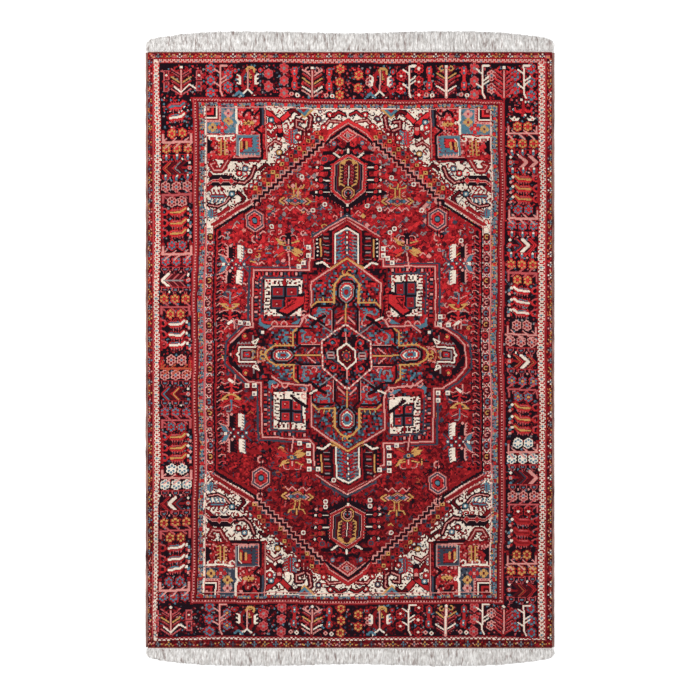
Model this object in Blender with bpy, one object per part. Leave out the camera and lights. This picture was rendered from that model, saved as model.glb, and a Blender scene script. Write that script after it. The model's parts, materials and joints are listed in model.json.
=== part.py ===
"""Hand-knotted area rug, lying flat on the floor.

The rug is built in the order in which it is woven.  A cotton foundation carries the wool pile.
Each side ends in a selvedge: two cotton cords inside an overcast sleeve of wool.  Each end has a
narrow flat-woven web, a twined locking row, and a row of knots from which the warp ends hang as
fringe.  The fringe folds up at its knots, so each end's fringe sits on a hinge axis.

Frame: metres, +Y along the rug, +X across it, +Z up, and the floor at Z = 0 under its centre.
"""

import math

import bmesh
import bpy
from mathutils import Matrix, Vector

# ---------------------------------------------------------------- driving dimensions, metres
RUG_WIDTH = 2.060              # over both selvedges
PILE_LENGTH = 3.000            # knotted length, without the end webs and the fringe
FOUNDATION_THICKNESS = 0.0032  # cotton warp and weft
PILE_HEIGHT = 0.0082           # wool knots above the foundation
PILE_EDGE_ROUNDING = 0.0025    # where the outermost tufts lean out

SELVEDGE_CORD_RADIUS = 0.0016
SELVEDGE_CORDS = 2             # cords side by side in each selvedge
SELVEDGE_SLEEVE_WALL = 0.0011  # overcast wool around the cords
SELVEDGE_CORD_TAIL = 0.0040    # cord that shows past each end of its sleeve

WEB_LENGTH = 0.0060            # flat-woven web at each end, along the rug
WEB_THICKNESS = 0.0026
TWINING_RADIUS = 0.0015        # locking row of twined cotton
KNOT_RADIUS = 0.0026           # row of fringe knots, to the middle of its flat sides

FRINGE_SECTIONS = 18           # knotted sections along each end
TASSEL_PITCH = 0.0114
TASSEL_WIDTH = 0.0078          # at the free end
TASSEL_ROOT_WIDTH = 0.0056     # where it leaves its knot
TASSEL_THICKNESS = 0.0018
FRINGE_LENGTH = 0.1010         # from the pile's edge to the tips, between the corners
FRINGE_SWELL = 0.0060          # how far the outline waves about that length
FRINGE_CORNER_LOSS = 0.0420    # how much shorter the worn corners are

GAP = 0.0003                   # between pieces that touch
ROD_SIDES = 8                  # sides of a cord or knot row
SLEEVE_STEPS = 6               # facets on each rounded side of a selvedge sleeve

# ---------------------------------------------------------------- places that follow from them
HALF_LENGTH = PILE_LENGTH / 2
SLEEVE_INNER_HALF_HEIGHT = SELVEDGE_CORD_RADIUS + GAP
SLEEVE_INNER_WIDTH = SELVEDGE_CORDS * (2 * SELVEDGE_CORD_RADIUS + GAP) + GAP
SLEEVE_WIDTH = SLEEVE_INNER_WIDTH + 2 * SELVEDGE_SLEEVE_WALL
SLEEVE_HALF_HEIGHT = SLEEVE_INNER_HALF_HEIGHT + SELVEDGE_SLEEVE_WALL
CLOTH_WIDTH = RUG_WIDTH - 2 * (SLEEVE_WIDTH + GAP)
PILE_BOTTOM = FOUNDATION_THICKNESS + GAP

CORNER_TO_FLAT = 1 / math.cos(math.pi / ROD_SIDES)
WEB_START = HALF_LENGTH + GAP
TWINING_Y = WEB_START + WEB_LENGTH + GAP + TWINING_RADIUS * CORNER_TO_FLAT
KNOT_Y = TWINING_Y + (TWINING_RADIUS + KNOT_RADIUS) * CORNER_TO_FLAT + GAP
SECTION_PITCH = RUG_WIDTH / FRINGE_SECTIONS
TASSELS_PER_SECTION = round(SECTION_PITCH / TASSEL_PITCH)

ENDS = {"far": 1, "near": -1}
SIDES = {"left": -1, "right": 1}

# ---------------------------------------------------------------- colours and roughness
FINISHES = {
    "cotton_foundation": ((0.62, 0.56, 0.47), 0.95),
    "wool_pile": ((0.42, 0.03, 0.04), 0.92),
    "cotton_cord": ((0.70, 0.66, 0.58), 0.90),
    "wool_overcast": ((0.20, 0.05, 0.06), 0.92),
    "cotton_web": ((0.55, 0.46, 0.33), 0.95),
    "cotton_twining": ((0.66, 0.60, 0.50), 0.92),
    "cotton_fringe": ((0.74, 0.72, 0.69), 0.90),
}


def clear_scene():
    """Start from an empty scene."""
    for obj in list(bpy.data.objects):
        bpy.data.objects.remove(obj, do_unlink=True)


def material(name):
    """The Principled material of one finish, made once."""
    found = bpy.data.materials.get(name)
    if found:
        return found
    colour, roughness = FINISHES[name]
    made = bpy.data.materials.new(name)
    made.use_nodes = True
    shader = made.node_tree.nodes["Principled BSDF"]
    shader.inputs["Base Color"].default_value = (*colour, 1.0)
    shader.inputs["Roughness"].default_value = roughness
    shader.inputs["Metallic"].default_value = 0.0
    return made


def add_object(name, mesh_builder, finish, smooth=False):
    """Turn a bmesh into a named object with its finish."""
    mesh = bpy.data.meshes.new(name)
    bmesh.ops.recalc_face_normals(mesh_builder, faces=mesh_builder.faces)
    mesh_builder.to_mesh(mesh)
    mesh_builder.free()
    if smooth:
        mesh.shade_smooth()
        mesh.set_sharp_from_angle(angle=math.radians(50))
    mesh.materials.append(material(finish))
    obj = bpy.data.objects.new(name, mesh)
    bpy.context.collection.objects.link(obj)
    return obj


def slab(low, high):
    """A bmesh box between two corners."""
    low, high = Vector(low), Vector(high)
    shape = bmesh.new()
    place = Matrix.Translation((low + high) / 2) @ Matrix.Diagonal((*(high - low), 1.0))
    bmesh.ops.create_cube(shape, size=1.0, matrix=place)
    return shape


def rod(radius, length, axis):
    """A bmesh rod about the origin, with flats of the given radius facing down, up and sideways."""
    shape = bmesh.new()
    corner_radius = radius * CORNER_TO_FLAT
    bmesh.ops.create_cone(shape, cap_ends=True, segments=ROD_SIDES, radius1=corner_radius,
                          radius2=corner_radius, depth=length)
    half_facet = Matrix.Rotation(math.pi / ROD_SIDES, 4, "Z")
    onto_axis = Matrix.Rotation(math.pi / 2, 4, "Y" if axis == "X" else "X")
    bmesh.ops.transform(shape, matrix=onto_axis @ half_facet, verts=shape.verts)
    return shape


def racetrack(half_flat, radius):
    """Outline of two round sides joined by flats, in the XZ plane, as (x, z) points."""
    points = []
    for side, start in ((1, -math.pi / 2), (-1, math.pi / 2)):
        for step in range(SLEEVE_STEPS + 1):
            angle = start + math.pi * step / SLEEVE_STEPS
            points.append((side * half_flat + radius * math.cos(angle), radius * math.sin(angle)))
    return points


# ---------------------------------------------------------------- cloth
def add_foundation():
    """The cotton cloth of warps and wefts that carries every knot."""
    half = CLOTH_WIDTH / 2
    low = (-half, -HALF_LENGTH, 0)
    add_object("foundation", slab(low, (half, HALF_LENGTH, FOUNDATION_THICKNESS)), "cotton_foundation")


def add_pile():
    """The knotted wool, with its upper edges rounded."""
    half = CLOTH_WIDTH / 2
    top = PILE_BOTTOM + PILE_HEIGHT
    shape = slab((-half, -HALF_LENGTH, PILE_BOTTOM), (half, HALF_LENGTH, top))
    middle = (PILE_BOTTOM + top) / 2
    upper_edges = [edge for edge in shape.edges if all(vert.co.z > middle for vert in edge.verts)]
    bmesh.ops.bevel(shape, geom=upper_edges, offset=PILE_EDGE_ROUNDING, segments=2,
                    affect="EDGES", profile=0.5)
    add_object("wool_pile", shape, "wool_pile", smooth=True)


# ---------------------------------------------------------------- selvedges
def add_selvedge(side_name, side):
    """Two cotton cords inside an overcast sleeve, along one side of the cloth."""
    centre_x = side * (CLOTH_WIDTH / 2 + GAP + SLEEVE_WIDTH / 2)
    cord_pitch = 2 * SELVEDGE_CORD_RADIUS + GAP
    for number in range(SELVEDGE_CORDS):
        offset = (number - (SELVEDGE_CORDS - 1) / 2) * cord_pitch
        shape = rod(SELVEDGE_CORD_RADIUS / CORNER_TO_FLAT, PILE_LENGTH + 2 * SELVEDGE_CORD_TAIL, "Y")
        cord = add_object(f"selvedge_{side_name}_cord_{number + 1}", shape, "cotton_cord", smooth=True)
        cord.location = (centre_x + side * offset, 0, SLEEVE_HALF_HEIGHT)

    sleeve = add_object(f"selvedge_{side_name}_overcasting", sleeve_tube(), "wool_overcast", smooth=True)
    sleeve.location = (centre_x, 0, SLEEVE_HALF_HEIGHT)


def sleeve_tube():
    """The overcast sleeve: a racetrack tube along Y, open at both ends."""
    half_flat = SLEEVE_WIDTH / 2 - SLEEVE_HALF_HEIGHT
    shape = bmesh.new()
    rings = []
    for y in (-HALF_LENGTH, HALF_LENGTH):
        for radius in (SLEEVE_HALF_HEIGHT, SLEEVE_INNER_HALF_HEIGHT):
            rings.append([shape.verts.new((x, y, z)) for x, z in racetrack(half_flat, radius)])
    outer_start, inner_start, outer_end, inner_end = rings
    for first, second in ((outer_start, outer_end), (outer_end, inner_end),
                          (inner_end, inner_start), (inner_start, outer_start)):
        for here in range(len(first)):
            after = (here + 1) % len(first)
            shape.faces.new((first[here], first[after], second[after], second[here]))
    return shape


# ---------------------------------------------------------------- ends
def add_end_web(end_name, end):
    """The flat-woven web that the wefts make past the last row of knots."""
    half = CLOTH_WIDTH / 2
    near_y, far_y = sorted((end * WEB_START, end * (WEB_START + WEB_LENGTH)))
    add_object(f"end_web_{end_name}", slab((-half, near_y, 0), (half, far_y, WEB_THICKNESS)), "cotton_web")


def add_twining(end_name, end):
    """The twined row that locks the last weft."""
    shape = rod(TWINING_RADIUS, RUG_WIDTH, "X")
    row = add_object(f"end_twining_{end_name}", shape, "cotton_twining", smooth=True)
    row.location = (0, end * TWINING_Y, TWINING_RADIUS)


def tassel_reach(x):
    """How far past the pile's edge a tassel at x reaches: a shallow wave that is short at the corners."""
    across = abs(x) / (RUG_WIDTH / 2)
    wave = -FRINGE_SWELL * math.cos(1.8 * math.pi * across)
    return FRINGE_LENGTH + wave - FRINGE_CORNER_LOSS * across ** 5


def tassel(x, reach):
    """A tassel as a flat tapered bar in the hinge's frame, from inside its knot to the floor."""
    shape = slab((-0.5, 0, 0), (0.5, 1, 1))
    for vert in shape.verts:
        at_tip = vert.co.y > 0.5
        width = TASSEL_WIDTH if at_tip else TASSEL_ROOT_WIDTH
        low = -KNOT_RADIUS if at_tip else -TASSEL_THICKNESS / 2
        vert.co = (x + vert.co.x * width, vert.co.y * (HALF_LENGTH + reach - KNOT_Y),
                   low + vert.co.z * TASSEL_THICKNESS)
    return shape


def add_fringe(end_name, end):
    """The knotted sections at one end, all on the hinge axis along their knots."""
    hinge = bpy.data.objects.new(f"fringe_{end_name}_hinge", None)
    hinge.location = (0, end * KNOT_Y, KNOT_RADIUS)
    bpy.context.collection.objects.link(hinge)
    for number in range(FRINGE_SECTIONS):
        centre_x = (number - (FRINGE_SECTIONS - 1) / 2) * SECTION_PITCH
        add_fringe_section(f"fringe_{end_name}_{number + 1:02d}", end, centre_x, hinge)


def add_fringe_section(name, end, centre_x, hinge):
    """A row of touching knots joined to its tassels, in the hinge's own frame."""
    section = add_object(name, rod(KNOT_RADIUS, SECTION_PITCH - GAP, "X"), "cotton_fringe")
    tassels = bmesh.new()
    pitch = SECTION_PITCH / TASSELS_PER_SECTION
    for number in range(TASSELS_PER_SECTION):
        x = (number - (TASSELS_PER_SECTION - 1) / 2) * pitch
        piece = tassel(x, tassel_reach(centre_x + x))
        part = bpy.data.meshes.new("tassel")
        piece.to_mesh(part)
        piece.free()
        tassels.from_mesh(part)
        bpy.data.meshes.remove(part)
    if end < 0:
        bmesh.ops.scale(tassels, vec=(1, -1, 1), verts=tassels.verts)
    hank = add_object(f"{name}_tassels", tassels, "cotton_fringe")
    hank.hide_render = True
    hank.display_type = "WIRE"

    join = section.modifiers.new("tassels", "BOOLEAN")
    join.operation = "UNION"
    join.solver = "EXACT"
    join.object = hank
    for obj in (section, hank):
        obj.parent = hinge
        obj.location = (centre_x, 0, 0)


def main():
    clear_scene()
    add_foundation()
    add_pile()
    for side_name, side in SIDES.items():
        add_selvedge(side_name, side)
    for end_name, end in ENDS.items():
        add_end_web(end_name, end)
        add_twining(end_name, end)
        add_fringe(end_name, end)


main()
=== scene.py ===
"""A hand-knotted wool rug on a pale floor, seen from straight above.

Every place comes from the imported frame.  The design is woven knot by knot: a cartoon gives each knot
its dye, and the knots become the faces of the pile.  The fringe, the selvedges and the ends are
modelled yarn by yarn round the CAD pieces that they replace.
"""
import json
import math

import bpy
import numpy as np
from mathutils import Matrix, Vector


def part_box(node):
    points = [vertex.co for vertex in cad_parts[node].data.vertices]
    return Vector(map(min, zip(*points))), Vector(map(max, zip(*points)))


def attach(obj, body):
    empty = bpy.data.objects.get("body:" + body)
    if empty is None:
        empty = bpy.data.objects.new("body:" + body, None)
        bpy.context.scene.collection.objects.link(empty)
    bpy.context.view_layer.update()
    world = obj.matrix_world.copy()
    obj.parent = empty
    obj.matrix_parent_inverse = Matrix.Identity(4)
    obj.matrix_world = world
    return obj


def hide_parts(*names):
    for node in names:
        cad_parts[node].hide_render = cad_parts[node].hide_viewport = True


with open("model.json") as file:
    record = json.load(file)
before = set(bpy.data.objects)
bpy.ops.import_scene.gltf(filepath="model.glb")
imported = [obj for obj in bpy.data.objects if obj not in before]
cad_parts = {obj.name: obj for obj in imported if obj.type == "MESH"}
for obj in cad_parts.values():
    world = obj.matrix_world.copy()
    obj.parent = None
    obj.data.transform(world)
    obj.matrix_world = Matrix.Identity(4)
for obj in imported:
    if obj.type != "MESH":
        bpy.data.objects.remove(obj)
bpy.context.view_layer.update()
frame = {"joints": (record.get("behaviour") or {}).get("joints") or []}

# ---------------------------------------------------------------- the weaver's cartoon
# The design is drawn as a weaver's cartoon: one dye for each knot.  Its places are counted in knots
# from the rug's centre, u to the right and v towards the far end.
COLUMNS, ROWS = 546, 804
DYES = {
    "navy": (29, 15, 23), "red": (158, 31, 37), "bright": (207, 47, 51), "maroon": (104, 17, 25),
    "slate": (80, 116, 132), "ivory": (230, 214, 197), "gold": (194, 144, 84), "grey": (136, 126, 126),
    "pink": (210, 141, 133), "orange": (196, 92, 62), "wine": (60, 19, 27), "steel": (56, 62, 75),
    "rose": (182, 82, 84),
}
DYE_NUMBER = {name: number for number, name in enumerate(DYES)}


class Pen:
    """Draws on the cartoon in a frame of its own, which can be moved, mirrored or turned on its side."""

    def __init__(self, knots, u=0.0, v=0.0, a_step=(1, 0), b_step=(0, 1)):
        self.knots, self.origin = knots, np.array((u, v), float)
        self.steps = np.array((a_step, b_step), float)

    def at(self, a, b, flip_a=False, flip_b=False, turn=False):
        """A pen whose frame starts at (a, b) in this one."""
        u, v = self.place((a, b))
        first = self.steps[1 if turn else 0] * (-1 if flip_a else 1)
        second = self.steps[0 if turn else 1] * (-1 if flip_b else 1)
        return Pen(self.knots, u, v, first, second)

    def halves(self):
        """Each side, -1 or 1, with a pen whose a points that way."""
        for side in (-1, 1):
            yield side, self.at(0, 0, flip_a=side < 0)

    def place(self, points):
        """Where some points of this frame lie on the cartoon."""
        return self.origin + np.asarray(points, float) @ self.steps

    def window(self, low, high):
        """The part of the cartoon between two corners, with its knots' middles."""
        column = [int(np.clip(value + COLUMNS / 2, 0, COLUMNS)) for value in (low[0] - 1, high[0] + 2)]
        row = [int(np.clip(value + ROWS / 2, 0, ROWS)) for value in (low[1] - 1, high[1] + 2)]
        view = self.knots[row[0]:row[1], column[0]:column[1]]
        u = np.arange(*column) + 0.5 - COLUMNS / 2
        v = np.arange(*row) + 0.5 - ROWS / 2
        return view, u[None, :], v[:, None]

    def within(self, points):
        """The part of the cartoon round an outline, and which of its knots lie inside."""
        points = self.place(points)
        view, u, v = self.window(points.min(0), points.max(0))
        inside = np.zeros(view.shape, bool)
        for (u0, v0), (u1, v1) in zip(points, np.roll(points, -1, 0)):
            if v0 != v1:
                inside ^= ((v0 > v) != (v1 > v)) & (u < (u1 - u0) * (v - v0) / (v1 - v0) + u0)
        return view, inside

    def area(self, points, dye):
        """Fill an outline."""
        view, inside = self.within(points)
        view[inside] = DYE_NUMBER[dye]

    def mottle(self, points, dyes, rng, cell=2.8):
        """Fill an outline with a small close pattern of several dyes."""
        view, inside = self.within(points)
        rows, columns = view.shape
        pattern = rng.choice([DYE_NUMBER[dye] for dye in dyes],
                             (int(rows / cell) + 1, int(columns / cell) + 2))
        row = (np.arange(rows) / cell).astype(int)
        column = (np.arange(columns) / cell + rng.uniform(0, 1, len(pattern))[row][:, None]).astype(int)
        view[inside] = pattern[row[:, None], column][inside]

    def box(self, a0, b0, a1, b1, dye):
        """Fill the box between two corners."""
        self.area(((a0, b0), (a1, b0), (a1, b1), (a0, b1)), dye)

    def line(self, points, width, dye):
        """A line through some points."""
        points = self.place(points)
        for start, end in zip(points[:-1], points[1:]):
            view, u, v = self.window(np.minimum(start, end) - width, np.maximum(start, end) + width)
            run = end - start
            length = max(run @ run, 1e-9)
            along = np.clip(((u - start[0]) * run[0] + (v - start[1]) * run[1]) / length, 0, 1)
            off = (u - start[0] - along * run[0]) ** 2 + (v - start[1] - along * run[1]) ** 2
            view[off <= (width / 2) ** 2] = DYE_NUMBER[dye]

    def loop(self, points, width, dye):
        """A line that ends where it starts."""
        self.line((*points, points[0]), width, dye)

    def dot(self, a, b, radius, dye):
        """A round spot."""
        (u0, v0), reach = self.place((a, b)), radius + 1
        view, u, v = self.window((u0 - reach, v0 - reach), (u0 + reach, v0 + reach))
        view[(u - u0) ** 2 + (v - v0) ** 2 <= radius ** 2] = DYE_NUMBER[dye]

    def curl(self, a, b, radius, start, turn, width, dye, shrink=0.55):
        """A hook that winds in from a start angle, in degrees."""
        steps = np.linspace(0, 1, 14)
        angles = np.radians(start + turn * steps)
        radii = radius * (1 - shrink * steps)
        self.line(np.stack((a + radii * np.cos(angles), b + radii * np.sin(angles)), 1), width, dye)

    def comb(self, start, end, tooth, count, width, dye):
        """A line with teeth that all point along (tooth)."""
        start, end, tooth = (np.array(value, float) for value in (start, end, tooth))
        self.line((start, end), width, dye)
        for share in np.linspace(0, 1, count):
            root = start + (end - start) * share
            self.line((root, root + tooth), width, dye)


# ---------------------------------------------------------------- small motifs, about their own middle
def bead(pen, edge, fill, core, radius=4.2):
    """A round flower in three dyes."""
    pen.dot(0, 0, radius, edge)
    pen.dot(0, 0, radius * 0.68, fill)
    pen.dot(0, 0, radius * 0.34, core)


ROSETTES = {   # rim, petals, heart
    "gold": ("bright", "gold", "bright"), "blue": ("bright", "slate", "bright"),
    "pink": ("pink", "red", "slate"), "snow": ("ivory", "slate", "ivory"),
    "ash": ("rose", "bright", "grey"), "dark": ("bright", "slate", "bright"),
    "amber": ("bright", "slate", "gold"), "plain": ("bright", "maroon", "ivory"),
}


def rosette(pen, kind="gold", size=1.0):
    """Six petals round a heart."""
    rim, petals, heart = ROSETTES[kind]
    angles = np.radians(np.arange(30, 390, 60))
    for angle in angles:
        pen.dot(4.2 * size * np.cos(angle), 4.8 * size * np.sin(angle), 2.7 * size, rim)
    pen.dot(0, 0, 4.0 * size, rim)
    for angle in angles:
        pen.dot(3.9 * size * np.cos(angle), 4.4 * size * np.sin(angle), 1.6 * size, petals)
    pen.dot(0, 0, 1.7 * size, heart)


def leaf(pen, core):
    """A toothed leaf lying along a, with its tip turned up."""
    pen.area(((-15, 0), (-10, 5), (4, 5), (9, 9), (15, 7), (11, 0), (6, -5), (-9, -6)), "maroon")
    for tooth in np.arange(-9.5, 6, 3.4):
        pen.area(((tooth, -2), (tooth + 1.7, -8), (tooth + 3.4, -2)), "rose")
        pen.area(((tooth, 1), (tooth + 1.7, 6.6), (tooth + 3.4, 1)), "bright")
    pen.area(((-14, 0), (-9, 4), (4, 3.6), (9, 8), (13, 6), (10, 0), (6, -4), (-9, -4.6)), "bright")
    pen.line(((-10, -0.6), (5, 0.2), (10, 4.4)), 3.0 if core == "ivory" else 2.4, core)
    pen.line(((-8, 2.6), (3, 3.0)), 1.4, "slate" if core == "ivory" else "rose")


def tulip(pen, cup="bright", edge="pink"):
    """A small upright flower."""
    pen.area(((-5, 4.4), (-5, 0), (-2, -2), (-2, -5), (2, -5), (2, -2), (5, 0), (5, 4.4)), edge)
    pen.area(((-3.8, 3.6), (-3.8, 0), (0, -3), (3.8, 0), (3.8, 3.6)), cup)
    pen.dot(0, 1, 1.7, "ivory" if cup == "bright" else "slate")
    pen.dot(0, -3.6, 1.1, cup)


def chevrons(pen, dyes, pitch=5.5, reach=9.0, rise=8.0, width=2.2):
    """Pairs of arms in a row along a, the first at the pen's middle."""
    for number, dye in enumerate(dyes):
        if dye:
            start = pitch * number
            arms = ((start + reach, rise), (start, 0), (start + reach, -rise))
            pen.line(arms, width + 1.6, "red" if dye in ("ivory", "pink", "gold") else "wine")
            pen.line(arms, width, dye)


def branch(pen, dye):
    """A twigged bracket between two rows of rosettes."""
    width, rise = 38.0, 10.0
    half = width / 2
    shape = ((-half, rise), (-half, 0), (half, 0), (half, rise))
    pen.line(shape, 4.6, {"rose": "maroon", "orange": "bright"}.get(dye, "red"))
    for twig in (-0.36, 0.06, 0.4):
        pen.line(((twig * width - 7, -1), (twig * width + 1, -8)), 2.0, dye)
        pen.line(((twig * width + 5, 0), (twig * width - 1, 5)), 1.7, dye)
    pen.line(shape, 1.3 if dye == "orange" else 2.6, dye)


def dumbbell(pen):
    """Two little knobs and a bar."""
    for b in (-9, 9):
        right = ((2, b - 6), (4, b - 3), (4, b + 3), (2, b + 6))
        left = ((-2, b + 6), (-4, b + 3), (-4, b - 3), (-2, b - 6))
        pen.area((*right, *left), "bright")
        pen.dot(0, b + 2.6, 1.6, "slate")
        pen.dot(0, b - 2.8, 1.6, "slate")
        pen.dot(0, b, 0.9, "ivory")
    pen.box(-1.6, -5, 1.6, 5, "bright")


def cross(pen, dye, size):
    """A small cross flower."""
    pen.line(((-size, 0), (size, 0)), 1.8, dye)
    pen.line(((0, -size), (0, size)), 1.8, dye)
    for a, b in ((-1, -1), (-1, 1), (1, -1), (1, 1)):
        pen.dot(a * size * 0.55, b * size * 0.55, 0.8, dye)


def checker(pen, ring, heart, size=2.6):
    """A square within a square."""
    pen.box(-size, -size, size, size, ring)
    pen.box(-size + 1.4, -size + 1.4, size - 1.4, size - 1.4, heart)


# ---------------------------------------------------------------- borders
# Edges of the border's stripes, from the rug's edge to the field, as (left, right, top, bottom).
GUARD = (-265.0, 263.6, 394.8, -391.5)
LATTICE = (-256.6, 254.6, 389.6, -387.0)
MAIN = (-212.4, 208.0, 342.2, -342.0)
DOTTED = (-205.2, 200.0, 336.6, -336.0)
FIELD = (-196.0, 190.0, 329.8, -328.5)


def ring_round(edges):
    """The four corners of a stripe's edge."""
    left, right, top, bottom = edges
    return (left, bottom), (right, bottom), (right, top), (left, top)


def stripe(pen, edges, dye, line, width=1.6):
    """A stripe's ground out to its outer edge, with a thin line along that edge."""
    left, right, top, bottom = edges
    pen.box(left, bottom, right, top, dye)
    pen.loop(ring_round(edges), width, line)


def outer_guard(pen, rng):
    """Small light crosses and spotted boxes in turn, all the way round."""
    cool, warm = ("grey", "slate", "steel", "pink", "gold"), ("grey", "gold", "pink", "gold", "ivory")
    for edge, length, turn, lights in ((-270.6, ROWS, True, cool), (270.8, ROWS, True, warm),
                                       (398.4, COLUMNS, False, warm), (-396.6, COLUMNS, False, cool)):
        for number, place in enumerate(np.arange(-length / 2 + 7, length / 2 - 5, 7.2)):
            spot = pen.at(edge, place) if turn else pen.at(place, edge)
            spot = spot.at(0, 0, turn=turn)
            if number % 2:
                light = rng.choice(lights)
                spot.dot(0, 0, 3.8, "wine" if lights[0] == light else "maroon")
                for a, b in ((0, 2.6), (0, -2.6), (2.6, 0), (-2.6, 0)):
                    spot.dot(a, b, 1.1, light)
                spot.dot(0, 0, 1.0, "slate")
            else:
                plain = "red" if rng.random() < 0.35 else "rose" if edge > 390 else "maroon"
                spot.box(-3, -3, 3, 3, plain)
                spot.line(((-3, 2.6 * rng.choice((-1, 1))), (3, 2.6)), 1.1, "maroon")
                for a in (-2.2, 0.2, 2.4):
                    spot.dot(a, rng.uniform(-2.4, 2.4), 1.0,
                             rng.choice(("gold", "bright", "orange", "pink", "gold")))
            if rng.random() < 0.4:
                spot.line(((-3, 4), (2, 4)), 1.0, "rose" if turn else "red")


def lattice_guard(pen):
    """Red dots and blue specks on ivory along the sides, and a zigzag along the ends."""
    for middle in (-260.8, 259.1):
        for number, v in enumerate(np.arange(-386, 390, 5.4)):
            for side in (-1, 1):
                pen.dot(middle + 3.2 * side, v, 1.4, "bright")
                pen.dot(middle + 1.9 * side, v + 2.7, 0.8, "bright")
            pen.dot(middle, v + 2.7, 1.4, "slate" if number % 4 == 0 else "bright")
            pen.dot(middle, v, 0.8, "pink")
        for side, dye in ((-4.6, "rose"), (4.6, "rose"), (-5.8, "red"), (5.8, "red")):
            pen.line(((middle + side, -388), (middle + side, 390)), 1.3, dye)
    for middle, side in ((391.7, 1), (-389.2, -1)):
        for number, u in enumerate(np.arange(-258, 262, 6.0)):
            pen.line(((u, middle - 1.8), (u + 3, middle + 1.8), (u + 6, middle - 1.8)), 1.6,
                     "pink" if side > 0 else "rose")
            pen.dot(u + 3, middle - 1.4 * side, 1.5, "slate" if number % 4 == 0 else "bright")
            pen.dot(u, middle + 1.6 * side, 1.4, "red")
            if side < 0:
                pen.line(((u, middle + 2.6), (u + 6, middle + 2.6)), 1.4, "red")
                pen.line(((u + 2, middle - 2.6), (u + 5, middle - 2.6)), 1.2, "red")


def dotted_guards(pen):
    """Pink dots on red, then grey marks and red squares on a grey ground."""
    for edge in range(4):
        turn = edge < 2
        reach = 338 if turn else 208
        middle = (MAIN[edge] + DOTTED[edge]) / 2
        for place in np.arange(-reach, reach, 3.8):
            spot = pen.at(middle, place) if turn else pen.at(place, middle)
            spot.dot(0, 0, 1.0, "pink")
            spot.dot(0, 1.9, 0.9, "maroon")
    for edge in range(4):
        turn = edge < 2
        reach = 332 if turn else 198
        middle = (DOTTED[edge] + FIELD[edge]) / 2
        for number, place in enumerate(np.arange(-reach, reach, 5.6)):
            spot = pen.at(middle, place, turn=True) if turn else pen.at(place, middle)
            if number % 4 == 0:
                spot.box(-2.4, -2.4, 2.4, 2.4, "bright")
            else:
                spot.line(((-1.8, -2.0), (-1.8, 2.0)), 1.2, "wine" if number % 2 else "steel")
                spot.line(((-1.8, 0), (1.8, 0)), 1.2, "slate")
                spot.dot(1.8, 1.4, 0.9, "pink" if number % 4 == 1 else "grey")


SIDE_ROWS = (("pair", 0.0), ("triple", 0.138), ("tulips", 0.22), ("chevrons", 0.31), ("tulips", 0.40),
             ("triple", 0.475), ("pair", 0.61), ("leaf", 0.70), ("leaf", 0.80), ("leaf", 0.89))
# Each repeat: its first row's v, its length, and the dyes of its pairs, chevrons and leaves.
LEFT_REPEATS = (
    (294.6, 151.5, ("gold", "gold", "pink", "pink"), ("orange", "grey"), "gold"),
    (143.3, 152.0, ("blue", "blue", "gold", "gold"), ("ivory", "rose", "maroon", "rose", "maroon", "rose"),
     "ivory"),
    (-12.3, 149.0, ("pink", "pink", "blue", "blue"), ("slate", "gold"), "gold"),
    (-160.0, 151.5, ("snow", "snow", "gold", "gold"), ("bright", "ivory", "steel"), "ivory"),
    (-311.4, 151.5, ("dark", "dark", "dark", "dark"), ("ivory",), "gold"),
)
RIGHT_REPEATS = (
    (191.7, 157.2, ("blue", "blue", "gold", "gold"), ("bright", "ivory", "steel"), "ivory"),
    (34.5, 159.5, ("pink", "pink", "amber", "amber"), ("orange", "ivory", "orange"), "gold"),
    (-125.0, 151.3, ("snow", "snow", "pink", "plain"), ("pink", "steel"), "red"),
    (-276.3, 151.3, ("gold", "gold", "gold", "gold"), ("bright", "orange"), "gold"),
)


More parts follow.
